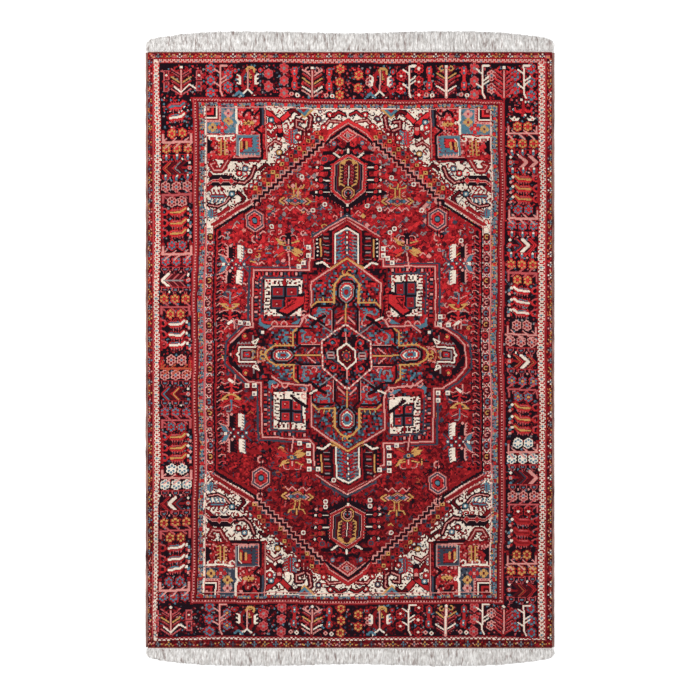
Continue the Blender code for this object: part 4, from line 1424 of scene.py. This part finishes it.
def tube(path, radii, sides):
    """Points and faces of a round yarn along a path of points."""
    path, radii = np.asarray(path, float), np.broadcast_to(radii, len(path))
    ahead = np.gradient(path, axis=0)
    ahead /= np.linalg.norm(ahead, axis=1)[:, None]
    up = np.array((0.0, 0.0, 1.0)) if abs(ahead[0][2]) < 0.9 else np.array((1.0, 0.0, 0.0))
    across = np.cross(ahead, up)
    across /= np.linalg.norm(across, axis=1)[:, None]
    other = np.cross(across, ahead)
    turn = np.arange(sides) * TAU / sides
    ring = np.cos(turn)[None, :, None] * across[:, None] + np.sin(turn)[None, :, None] * other[:, None]
    points = (path[:, None] + ring * radii[:, None, None]).reshape(-1, 3)
    ends = [list(range(sides)), list(range(len(points) - 1, len(points) - sides - 1, -1))]
    return points, ring_quads(len(path), sides) + ends


def gather(shapes):
    """Join (points, faces) shapes into one list of each."""
    points, faces, count = [], [], 0
    for some_points, some_faces in shapes:
        points.append(some_points)
        faces += [[index + count for index in face] for face in some_faces]
        count += len(some_points)
    return np.concatenate(points), faces


# ---------------------------------------------------------------- materials
class Nodes:
    """A short way to write a node tree for a Principled material."""

    def __init__(self, name, roughness=0.95, sheen=0.25, specular=0.15):
        self.material = bpy.data.materials.new(name)
        self.material.use_nodes = True
        self.tree = self.material.node_tree
        self.shader = self.tree.nodes["Principled BSDF"]
        self.shader.inputs["Roughness"].default_value = roughness
        self.shader.inputs["Sheen Weight"].default_value = sheen
        self.shader.inputs["Sheen Roughness"].default_value = 0.5
        self.shader.inputs["Specular IOR Level"].default_value = specular
        self.place = self.add("ShaderNodeTexCoord").outputs["Object"]

    def add(self, kind, **values):
        """A node, with its inputs given by name: a value, or another node's output."""
        node = self.tree.nodes.new(kind)
        for name, value in values.items():
            self.give(node.inputs[name.replace("_", " ")], value)
        return node

    def give(self, socket, value):
        """Set an input, or link it to another node's output."""
        if isinstance(value, bpy.types.NodeSocket):
            self.tree.links.new(value, socket)
        else:
            socket.default_value = value

    def stretched(self, scale):
        """Object coordinates scaled by axis."""
        return self.add("ShaderNodeMapping", Vector=self.place, Scale=scale).outputs["Vector"]

    def noise(self, scale, detail=2.0, vector=None):
        """Noise over the piece, or over other coordinates."""
        source = self.place if vector is None else vector
        return self.add("ShaderNodeTexNoise", Vector=source, Scale=scale, Detail=detail).outputs["Fac"]

    def spread(self, value, low, high, start=0.3, stop=0.7):
        """Map a value between start and stop, where most noise lies, to a range."""
        node = self.add("ShaderNodeMapRange", Value=value, From_Min=start, From_Max=stop, To_Min=low,
                        To_Max=high)
        return node.outputs["Result"]

    def shade(self, colour, amount):
        """Brighten or darken a colour by a factor."""
        node = self.tree.nodes.new("ShaderNodeVectorMath")
        node.operation = "SCALE"
        self.give(node.inputs[0], colour)
        self.give(node.inputs["Scale"], amount)
        return node.outputs["Vector"]

    def mix(self, factor, first, second):
        """A colour between two others."""
        node = self.tree.nodes.new("ShaderNodeMix")
        node.data_type = "RGBA"
        self.give(node.inputs["Factor"], factor)
        self.give(node.inputs[6], first)
        self.give(node.inputs[7], second)
        return node.outputs[2]

    def dye(self):
        """The colour that each face was given."""
        node = self.tree.nodes.new("ShaderNodeAttribute")
        node.attribute_name = "dye"
        return node.outputs["Color"]

    def finish(self, colour, height=None, depth=0.001):
        """Link the colour and a bump of some depth in metres."""
        self.tree.links.new(colour, self.shader.inputs["Base Color"])
        if height is not None:
            bump = self.add("ShaderNodeBump", Height=height, Distance=depth, Strength=0.8)
            self.tree.links.new(bump.outputs["Normal"], self.shader.inputs["Normal"])
        return self.material


def pile_material():
    """Cut wool: the knots' dyes with painted shade between deep tufts, tufts a few millimetres across,
    and painted shade and highlight in patches of the pile's lay.
    """
    nodes = Nodes("wool_pile_yarn", roughness=0.95, sheen=0.03, specular=0.03)
    tufts = nodes.add("ShaderNodeTexVoronoi", Vector=nodes.place, Scale=330.0).outputs["Distance"]
    # Painted shade: this tuft-sized mottle is partly the wool's own tone and partly painted shade between
    # tufts, scaled by the painted pile shade.
    fine = nodes.spread(nodes.noise(420.0, 3.0), 0.80 * PAINTED_PILE_SHADE, 1.16 * PAINTED_PILE_SHADE)
    # Painted shade and highlight: broad patches lighter and darker where the pile's lay catches the light
    # differently.
    lay_shading = nodes.spread(nodes.noise(11.0, 4.0), 0.93, 1.07)
    colour = nodes.shade(nodes.shade(nodes.dye(), fine), lay_shading)
    return nodes.finish(colour, tufts, 0.0014)


def knot_back_material():
    """The underside: the same dyes, flatter and greyer, with the wefts between the rows."""
    nodes = Nodes("knotted_back", roughness=0.97, sheen=0.05)
    fine = nodes.spread(nodes.noise(500.0), 0.75, 1.15)
    rows = nodes.add("ShaderNodeTexWave", Vector=nodes.place, Scale=85.0).outputs["Fac"]
    colour = nodes.mix(0.28, nodes.shade(nodes.dye(), fine), (0.35, 0.29, 0.22, 1))
    return nodes.finish(colour, rows, 0.0008)


def yarn_material(name, dark, light, sheen, scale=240.0):
    """Spun yarn between two colours, mottled along its length."""
    nodes = Nodes(name, 0.92, sheen)
    streaks = nodes.spread(nodes.noise(scale, 3.0, nodes.stretched((1.0, 0.22, 1.0))), 0.0, 1.0)
    blotches = nodes.spread(nodes.noise(9.0, 2.0), 0.9, 1.08)
    colour = nodes.shade(nodes.mix(streaks, dark, light), blotches)
    return nodes.finish(colour, nodes.noise(900.0), 0.0004)


def fringe_material():
    """Combed cotton: pale yarns with soft brown shadows between the clumps and by the knots."""
    nodes = Nodes("fringe_cotton", roughness=0.95, sheen=0.08, specular=0.05)
    fibres = nodes.spread(nodes.noise(130.0, 4.0, nodes.stretched((1.0, 0.35, 1.0))), 0.0, 1.0)
    clumps = nodes.noise(95.0, 3.0, nodes.stretched((1.0, 0.22, 1.0)))
    shadow = nodes.spread(clumps, 0.0, 0.9, 0.55, 0.70)
    colour = nodes.mix(fibres, srgb(178, 173, 169), srgb(240, 238, 236))
    colour = nodes.mix(shadow, colour, srgb(138, 120, 115))
    parts = nodes.add("ShaderNodeSeparateXYZ", Vector=nodes.place)
    ends = nodes.tree.nodes.new("ShaderNodeMath")
    ends.operation = "ABSOLUTE"
    nodes.tree.links.new(parts.outputs["Y"], ends.inputs[0])
    cloth_end = float(CLOTH_HIGH[1])
    root = nodes.spread(ends.outputs["Value"], 0.80, 1.0, cloth_end + 0.010, cloth_end + 0.034)
    return nodes.finish(nodes.shade(colour, root), nodes.noise(900.0), 0.0004)


def srgb(*shades):
    """Linear values with alpha for a colour given as it looks, in red, green and blue up to 255."""
    linear = [((shade / 255 + 0.055) / 1.055) ** 2.4 for shade in shades]
    return (*linear, 1)


# ---------------------------------------------------------------- pile and foundation
TUFT_SPREAD = 0.00022      # metres by which one tuft stands over or under the next
WORN_DARK = 0.0005         # metres by which the corroded dark dyes are worn lower
EDGE_DROPS = (0.0034, 0.0012, 0.0003)      # how the pile rounds over, from its outermost knots inwards


def surface_waves(x, y):
    """How the pile's surface rises and dips, in metres, fading out at its edges."""
    waves = 0.7 * np.sin(x * 3.1 + 0.4) * np.sin(y * 2.3 + 1.1) + 0.5 * np.sin(x * 6.3 + y * 4.1)
    inset_x, inset_y = PILE_HIGH[0] - np.abs(x), PILE_HIGH[1] - np.abs(y)
    fade = np.clip(inset_x / 0.12, 0, 1) * np.clip(inset_y / 0.12, 0, 1)
    return 0.0010 * waves * fade


def knot_grid(columns, rows):
    """x and y of the corners between knots, rows from the near end."""
    x = np.linspace(PILE_LOW[0], PILE_HIGH[0], columns + 1)
    y = np.linspace(PILE_LOW[1], PILE_HIGH[1], rows + 1)
    return np.meshgrid(x, y)


def slab_faces(columns, rows):
    """Faces of a closed slab: a fine face of knots, four skirts, and a plain face of long strips."""
    corner = np.arange((rows + 1) * (columns + 1)).reshape(rows + 1, columns + 1)
    knots = grid_quads(corner)
    rim = grid_rim(corner)
    low = np.arange(len(rim)) + corner.size
    skirts = np.stack((np.roll(rim, -1), rim, low, np.roll(low, -1)), -1)
    right, left = low[columns:columns + rows + 1], np.append(low[2 * columns + rows:], low[0])[::-1]
    strips = [(right[row], left[row], left[row + 1], right[row + 1]) for row in range(1, rows - 1)]
    near = [*low[:columns + 2][::-1], left[1]]
    far = [*low[columns + rows - 1:2 * columns + rows + 2][::-1]]
    return knots, rim, skirts, strips, near, far


def cloth_slab(name, columns, rows, face_z, back_z, face_up, colours, back_colour, material):
    """A closed slab with one coloured face a knot."""
    x, y = knot_grid(columns, rows)
    knots, rim, skirts, strips, near, far = slab_faces(columns, rows)
    face = np.stack((x, y, face_z), -1).reshape(-1, 3)
    back = face[rim].copy()
    back[:, 2] = back_z
    faces = [*knots.tolist(), *skirts.tolist(), *strips, near, far]
    if not face_up:
        faces = [face[::-1] for face in faces]
    obj = mesh_object(name, np.concatenate((face, back)), faces, material)
    inner = [colours[0], colours[:, -1], colours[-1, ::-1], colours[::-1, 0]]
    edge = np.concatenate(inner) * 0.8
    plain = np.tile(back_colour, (len(strips) + 2, 1))
    colour_faces(obj, np.concatenate((colours.reshape(-1, 3), edge, plain)))
    layer = obj.data.uv_layers.new(name="OFBake")
    index = np.zeros(len(obj.data.loops), np.int32)
    obj.data.loops.foreach_get("vertex_index", index)
    points = np.concatenate((face, back))
    share = (points[:, :2] - PILE_LOW[:2]) / (PILE_HIGH[:2] - PILE_LOW[:2])
    past_edge = np.sign(share[len(face):] - 0.5) * (np.abs(share[len(face):] - 0.5) > 0.4999)
    share[len(face):] += past_edge * 0.02
    layer.data.foreach_set("uv", (0.02 + 0.96 * share[index]).ravel())
    return obj


def make_pile(colours, knots):
    """The knotted pile: uneven tufts, worn navy a little lower, and edges that round over."""
    rng = np.random.default_rng(3)
    x, y = knot_grid(COLUMNS, ROWS)
    z = PILE_HIGH[2] + surface_waves(x, y) + rng.normal(0, TUFT_SPREAD, x.shape)
    z[1:, 1:] -= WORN_DARK * is_dyed(knots, "navy", "wine")
    column, row = np.meshgrid(np.arange(COLUMNS + 1), np.arange(ROWS + 1))
    edge = np.minimum(np.minimum(column, COLUMNS - column), np.minimum(row, ROWS - row))
    z -= np.select([edge == inset for inset in range(3)], EDGE_DROPS, 0.0)
    return cloth_slab("knotted_pile", COLUMNS, ROWS, z, PILE_LOW[2], True, colours,
                      np.array((0.45, 0.38, 0.30)), pile_material())


def make_foundation(colours):
    """The cotton cloth under the pile, whose underside shows the backs of the knots."""
    rng = np.random.default_rng(5)
    z = CLOTH_LOW[2] + np.abs(rng.normal(0, 0.0001, (ROWS // 2 + 1, COLUMNS // 2 + 1)))
    backs = colours[::2, ::2] * 0.82 + 0.06
    return cloth_slab("woven_foundation", COLUMNS // 2, ROWS // 2, z, CLOTH_HIGH[2], False, backs,
                      np.array((0.55, 0.48, 0.38)), knot_back_material())


# ---------------------------------------------------------------- selvedges
WRAP_PITCH = 0.0042        # metres from turn to turn of the overcasting
WRAP_SWELL = 1.42          # times the CAD wrapping's width


def make_overcasting(side):
    """Wool wound round the selvedge cords, turn after turn."""
    node = f"selvedge_{side}_overcasting"
    low, high = (np.array(corner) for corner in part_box(node))
    middle, half = (low + high) / 2, (high - low) / 2
    turns = int(round((high[1] - low[1]) / WRAP_PITCH))
    steps = np.linspace(low[1], high[1], turns * 4 + 1)
    sides = 14
    angle = np.arange(sides) * TAU / sides
    swell = 1 - 0.10 * (np.arange(len(steps)) % 4 == 0) + 0.02 * (np.arange(len(steps)) % 4 == 2)
    rng = np.random.default_rng(17 if side == "left" else 19)
    wander = np.interp(steps, np.linspace(low[1], high[1], 80), rng.normal(0, 0.0005, 80))
    width = half[0] * swell[:, None] * WRAP_SWELL
    x = middle[0] + wander[:, None] + width * np.sign(np.cos(angle)) * np.abs(np.cos(angle)) ** 0.8
    y = steps[:, None] + 0.0012 * np.sin(angle)[None, :]
    z = middle[2] + half[2] * swell[:, None] * np.sin(angle)[None, :]
    points = np.stack(np.broadcast_arrays(x, y, z), -1).reshape(-1, 3)
    here = np.arange((len(steps) - 1) * sides).reshape(-1, sides)
    after = np.roll(here, -1, 1)
    faces = np.stack((here, after, after + sides, here + sides), -1).reshape(-1, 4).tolist()
    obj = mesh_object(f"overcast_{side}", points, faces, WOOL_WRAP)
    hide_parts(node)
    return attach(obj, "rug")


def twisted_pair(start, end, radius, pitch):
    """Two yarns twisted round each other between two points."""
    start, end = np.array(start, float), np.array(end, float)
    length = np.linalg.norm(end - start)
    steps = int(length / pitch * 8)
    share = np.linspace(0, 1, steps + 1)
    line = start + (end - start) * share[:, None]
    along_x = abs(end[0] - start[0]) > abs(end[1] - start[1])
    for phase in (0, math.pi):
        turn = share * length / pitch * TAU + phase
        path = line.copy()
        path[:, 1 if along_x else 0] += radius * 0.5 * np.cos(turn)
        path[:, 2] += radius * 0.5 * np.sin(turn)
        yield tube(path, radius * 0.56, 6)


def make_cord(node):
    """A two-ply cotton cord in a selvedge."""
    low, high = (np.array(corner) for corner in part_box(node))
    middle = (low + high) / 2
    start, end = (middle[0], low[1], middle[2]), (middle[0], high[1], middle[2])
    points, faces = gather(twisted_pair(start, end, (high[2] - low[2]) / 2, 0.012))
    obj = mesh_object(node.replace("selvedge_", "plied_"), points, faces, COTTON_CORD)
    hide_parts(node)
    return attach(obj, "rug")


# ---------------------------------------------------------------- ends
RIB_WIDTH = 0.0028


def make_web(end):
    """The weft-faced web past the last knots: close ribs over the warps."""
    node = f"end_web_{end}"
    low, high = (np.array(corner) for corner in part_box(node))
    ribs = int((high[0] - low[0]) / RIB_WIDTH)
    x = np.linspace(low[0], high[0], ribs * 2 + 1)
    y = np.linspace(low[1], high[1], 7)
    grid_x, grid_y = np.meshgrid(x, y)
    weave = (np.arange(len(x))[None, :] + np.arange(len(y))[:, None]) % 2
    top = high[2] - 0.0002 + 0.0005 * weave
    upper = np.stack((grid_x, grid_y, top), -1).reshape(-1, 3)
    lower = np.stack((grid_x, grid_y, np.full_like(top, low[2]) + 0.0004 * weave), -1).reshape(-1, 3)
    rows, columns = len(y), len(x)
    corner = np.arange(rows * columns).reshape(rows, columns)
    quads = grid_quads(corner)
    rim = grid_rim(corner)
    count = rows * columns
    skirts = np.stack((np.roll(rim, -1), rim, rim + count, np.roll(rim, -1) + count), -1)
    faces = [*quads.tolist(), *(quads[:, ::-1] + count).tolist(), *skirts.tolist()]
    obj = mesh_object(f"web_{end}", np.concatenate((upper, lower)), faces, SHADED_WEB_COTTON)
    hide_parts(node)
    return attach(obj, "rug")


def make_twining(end):
    """The twined row past the web."""
    node = f"end_twining_{end}"
    low, high = (np.array(corner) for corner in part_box(node))
    middle = (low + high) / 2
    start, finish = (low[0], middle[1], middle[2]), (high[0], middle[1], middle[2])
    points, faces = gather(twisted_pair(start, finish, (high[2] - low[2]) / 2, 0.009))
    obj = mesh_object(f"twining_{end}", points, faces, COTTON_CORD)
    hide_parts(node)
    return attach(obj, "rug")


# ---------------------------------------------------------------- fringe
FRINGE_SECTIONS = 18
TASSELS = 13               # in each section
YARNS = 9                  # in each tassel
YARN_RADIUS = 0.0012
YARN_POINTS = 11
KNOT_RADIUS = 0.0027
KNOT_WIDTH = 0.0062        # how far apart a tassel's outer yarns leave its knot
CORNER_REACH = 0.030       # how far in from its two corners a fringe is cut round
CORNER_CUT = 0.016         # how much shorter it is at the corners
TRIM = {"far": -0.004, "near": 0.009}      # how much shorter than its section each fringe is cut


def fringe_reach(nodes, side):
    """How far the fringe reaches at any x, from the sections' own boxes."""
    middles, tips = [], []
    for node in nodes:
        low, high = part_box(node)
        middles.append((low[0] + high[0]) / 2)
        tips.append(max(side * low[1], side * high[1]))
    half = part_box(nodes[-1])[1][0]
    ends = [tips[0] - 0.012, tips[-1] - 0.012]
    return np.array((-half, *middles, half)), np.array((ends[0], *tips, ends[1]))


def knot_shape(middle, radius):
    """A tight knot: a round bead, drawn in across its middle."""
    rings, sides = 6, 8
    tilt = np.linspace(-1, 1, rings) * math.pi * 0.46
    turn = np.arange(sides) * TAU / sides
    wide = np.cos(tilt) * (1 - 0.14 * np.cos(tilt * 4))
    x = wide[:, None] * np.cos(turn) * 1.25
    y = np.sin(tilt)[:, None] * np.ones(sides) * 1.1
    z = wide[:, None] * np.sin(turn)
    points = np.stack((x, y, z), -1).reshape(-1, 3) * radius + middle
    ends = [list(range(sides)), list(range(rings * sides - 1, (rings - 1) * sides - 1, -1))]
    return points, ring_quads(rings, sides) + ends


def yarn_path(rng, root, tip, floor, curl):
    """A limp yarn from its knot down to the floor, waving a little on the way."""
    share = np.linspace(0, 1, YARN_POINTS)
    line = root + (tip - root) * share[:, None]
    wave = rng.uniform(0.6, 1.5)
    phase = rng.uniform(0, TAU)
    line[:, 0] += curl * share * np.sin(wave * TAU * share + phase)
    line[:, 0] += rng.normal(0, 0.0004) * share
    drop = np.clip(1 - share * 3.2, 0, 1) ** 1.5
    line[:, 2] = floor + (root[2] - floor) * drop + 0.0004 * np.sin(share * 9 + phase) ** 2 * share
    return line


def make_fringe(end, side):
    """The tassels of one end, a piece for each knotted section."""
    nodes = [f"fringe_{end}_{number + 1:02d}" for number in range(FRINGE_SECTIONS)]
    reach_x, reach_y = fringe_reach(nodes, side)
    hinge = next(joint for joint in frame["joints"] if joint["child"] == f"fringe_{end}")
    axis_y, axis_z = hinge["pos_m"][1], hinge["pos_m"][2]
    radii = YARN_RADIUS * np.interp(np.linspace(0, 1, YARN_POINTS), (0, 0.12, 0.85, 1), (0.8, 1, 0.95, 0.35))
    pieces = []
    for number, node in enumerate(nodes):
        rng = np.random.default_rng(100 + number + (50 if side < 0 else 0))
        low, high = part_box(node)
        shapes = []
        pitch = (high[0] - low[0]) / TASSELS
        for tassel in range(TASSELS):
            x = low[0] + (tassel + 0.5) * pitch
            knot = np.array((x + rng.normal(0, 0.0004), axis_y, axis_z))
            shapes.append(knot_shape(knot, KNOT_RADIUS))
            lean, cut = rng.normal(0, 0.0026), TRIM[end] + rng.normal(0, 0.0012)
            for yarn in range(YARNS):
                spread = yarn / (YARNS - 1) - 0.5
                layer = yarn % 3
                root = knot + (spread * KNOT_WIDTH, side * 0.0015, 0)
                tip_x = x + lean + spread * pitch * 1.5 + rng.normal(0, 0.0012)
                corner = np.clip((CORNER_REACH - (reach_x[-1] - abs(tip_x))) / CORNER_REACH, 0, 1)
                tip_y = np.interp(tip_x, reach_x, reach_y) - cut - CORNER_CUT * corner ** 2
                tip_y += rng.normal(0, 0.0014)
                tip = np.array((tip_x, side * tip_y, 0.0))
                floor = 0.0012 + 0.0016 * layer * rng.uniform(0.7, 1.1)
                path = yarn_path(rng, root, tip, floor, rng.uniform(0.0004, 0.0024))
                shapes.append(tube(path, radii, 5))
        points, faces = gather(shapes)
        obj = mesh_object(f"tassels_{end}_{number + 1:02d}", points, faces, COTTON_YARN)
        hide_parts(node)
        pieces.append(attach(obj, f"fringe_{end}"))
    return pieces


# ---------------------------------------------------------------- stage, light and camera
def make_floor():
    """A plain pale floor, wide enough for every view."""
    nodes = Nodes("pale_floor", roughness=0.9, sheen=0.0, specular=0.1)
    faint = nodes.spread(nodes.noise(2.0), 0.995, 1.0)
    nodes.finish(nodes.shade((0.93, 0.93, 0.93), faint))
    reach, drop = 40.0, -0.0004
    points = [(-reach, -reach, drop), (reach, -reach, drop), (reach, reach, drop), (-reach, reach, drop)]
    floor = mesh_object("floor", points, [(0, 1, 2, 3)], nodes.material)


def area_light(name, place, size, power):
    """A square lamp that faces the rug's middle."""
    data = bpy.data.lights.new(name, "AREA")
    data.shape, data.size, data.energy = "SQUARE", size, power
    light = bpy.data.objects.new(name, data)
    light.location = place
    light.rotation_mode = "QUATERNION"
    light.rotation_quaternion = light.location.to_track_quat("Z", "Y")
    bpy.context.scene.collection.objects.link(light)


def make_light():
    """Soft studio light: a bright even surround and a broad key from over the far left."""
    world = bpy.data.worlds.new("studio")
    world.use_nodes = True
    world.node_tree.nodes["Background"].inputs["Color"].default_value = (1.0, 1.0, 1.0, 1)
    world.node_tree.nodes["Background"].inputs["Strength"].default_value = 0.62
    bpy.context.scene.world = world
    area_light("key", (-3.2, 0.7, 5.5), 3.0, 330)
    area_light("fill", (3.5, -1.0, 6.0), 4.5, 170)
    bpy.context.scene.view_settings.view_transform = "Standard"


FRAME_WIDTH = 3.532        # metres of floor across the picture
LENS, SENSOR = 85.0, 36.0


def make_camera():
    """Straight above the middle of the pile, with the far end up."""
    data = bpy.data.cameras.new("above")
    data.lens, data.sensor_width = LENS, SENSOR
    camera = bpy.data.objects.new("above", data)
    centre = (PILE_LOW + PILE_HIGH) / 2
    camera.location = (centre[0], centre[1], PILE_HIGH[2] + FRAME_WIDTH * LENS / SENSOR)
    data.clip_start, data.clip_end = 0.1, 200.0
    bpy.context.scene.collection.objects.link(camera)
    bpy.context.scene.camera = camera


# ---------------------------------------------------------------- the rug
WOOL_WRAP = yarn_material("overcast_wool", srgb(58, 24, 26), srgb(158, 118, 108), sheen=0.03, scale=60.0)
COTTON_CORD = yarn_material("plied_cotton", srgb(176, 168, 162), srgb(232, 228, 224), sheen=0.05)
# Painted shade: the end webs' yarn is darkened to brown-red, partly its own colour and partly the shade line
# where the pile meets the fringe.
SHADED_WEB_COTTON = yarn_material("woven_cotton_painted_shade", srgb(84, 44, 40), srgb(150, 104, 96), sheen=0.03)
COTTON_YARN = fringe_material()

cartoon = woven(draw_cartoon())
dyed = knot_colours(cartoon)
pile = make_pile(dyed, cartoon)
foundation = make_foundation(dyed)
for piece, node, slot_name in ((pile, "wool_pile", "wool_pile"),
                               (foundation, "foundation", "cotton_foundation")):
    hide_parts(node)
    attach(piece, "rug")

edges = [make_overcasting(side) for side in ("left", "right")]
edges += [make_cord(f"selvedge_{side}_cord_{number}") for side in ("left", "right") for number in (1, 2)]
edges += [maker(end) for end in ("far", "near") for maker in (make_web, make_twining)]
tassels = make_fringe("far", 1) + make_fringe("near", -1)

flat = tuple(float(value) for value in (PILE_HIGH - PILE_LOW)[:2])

make_floor()
make_light()
make_camera()
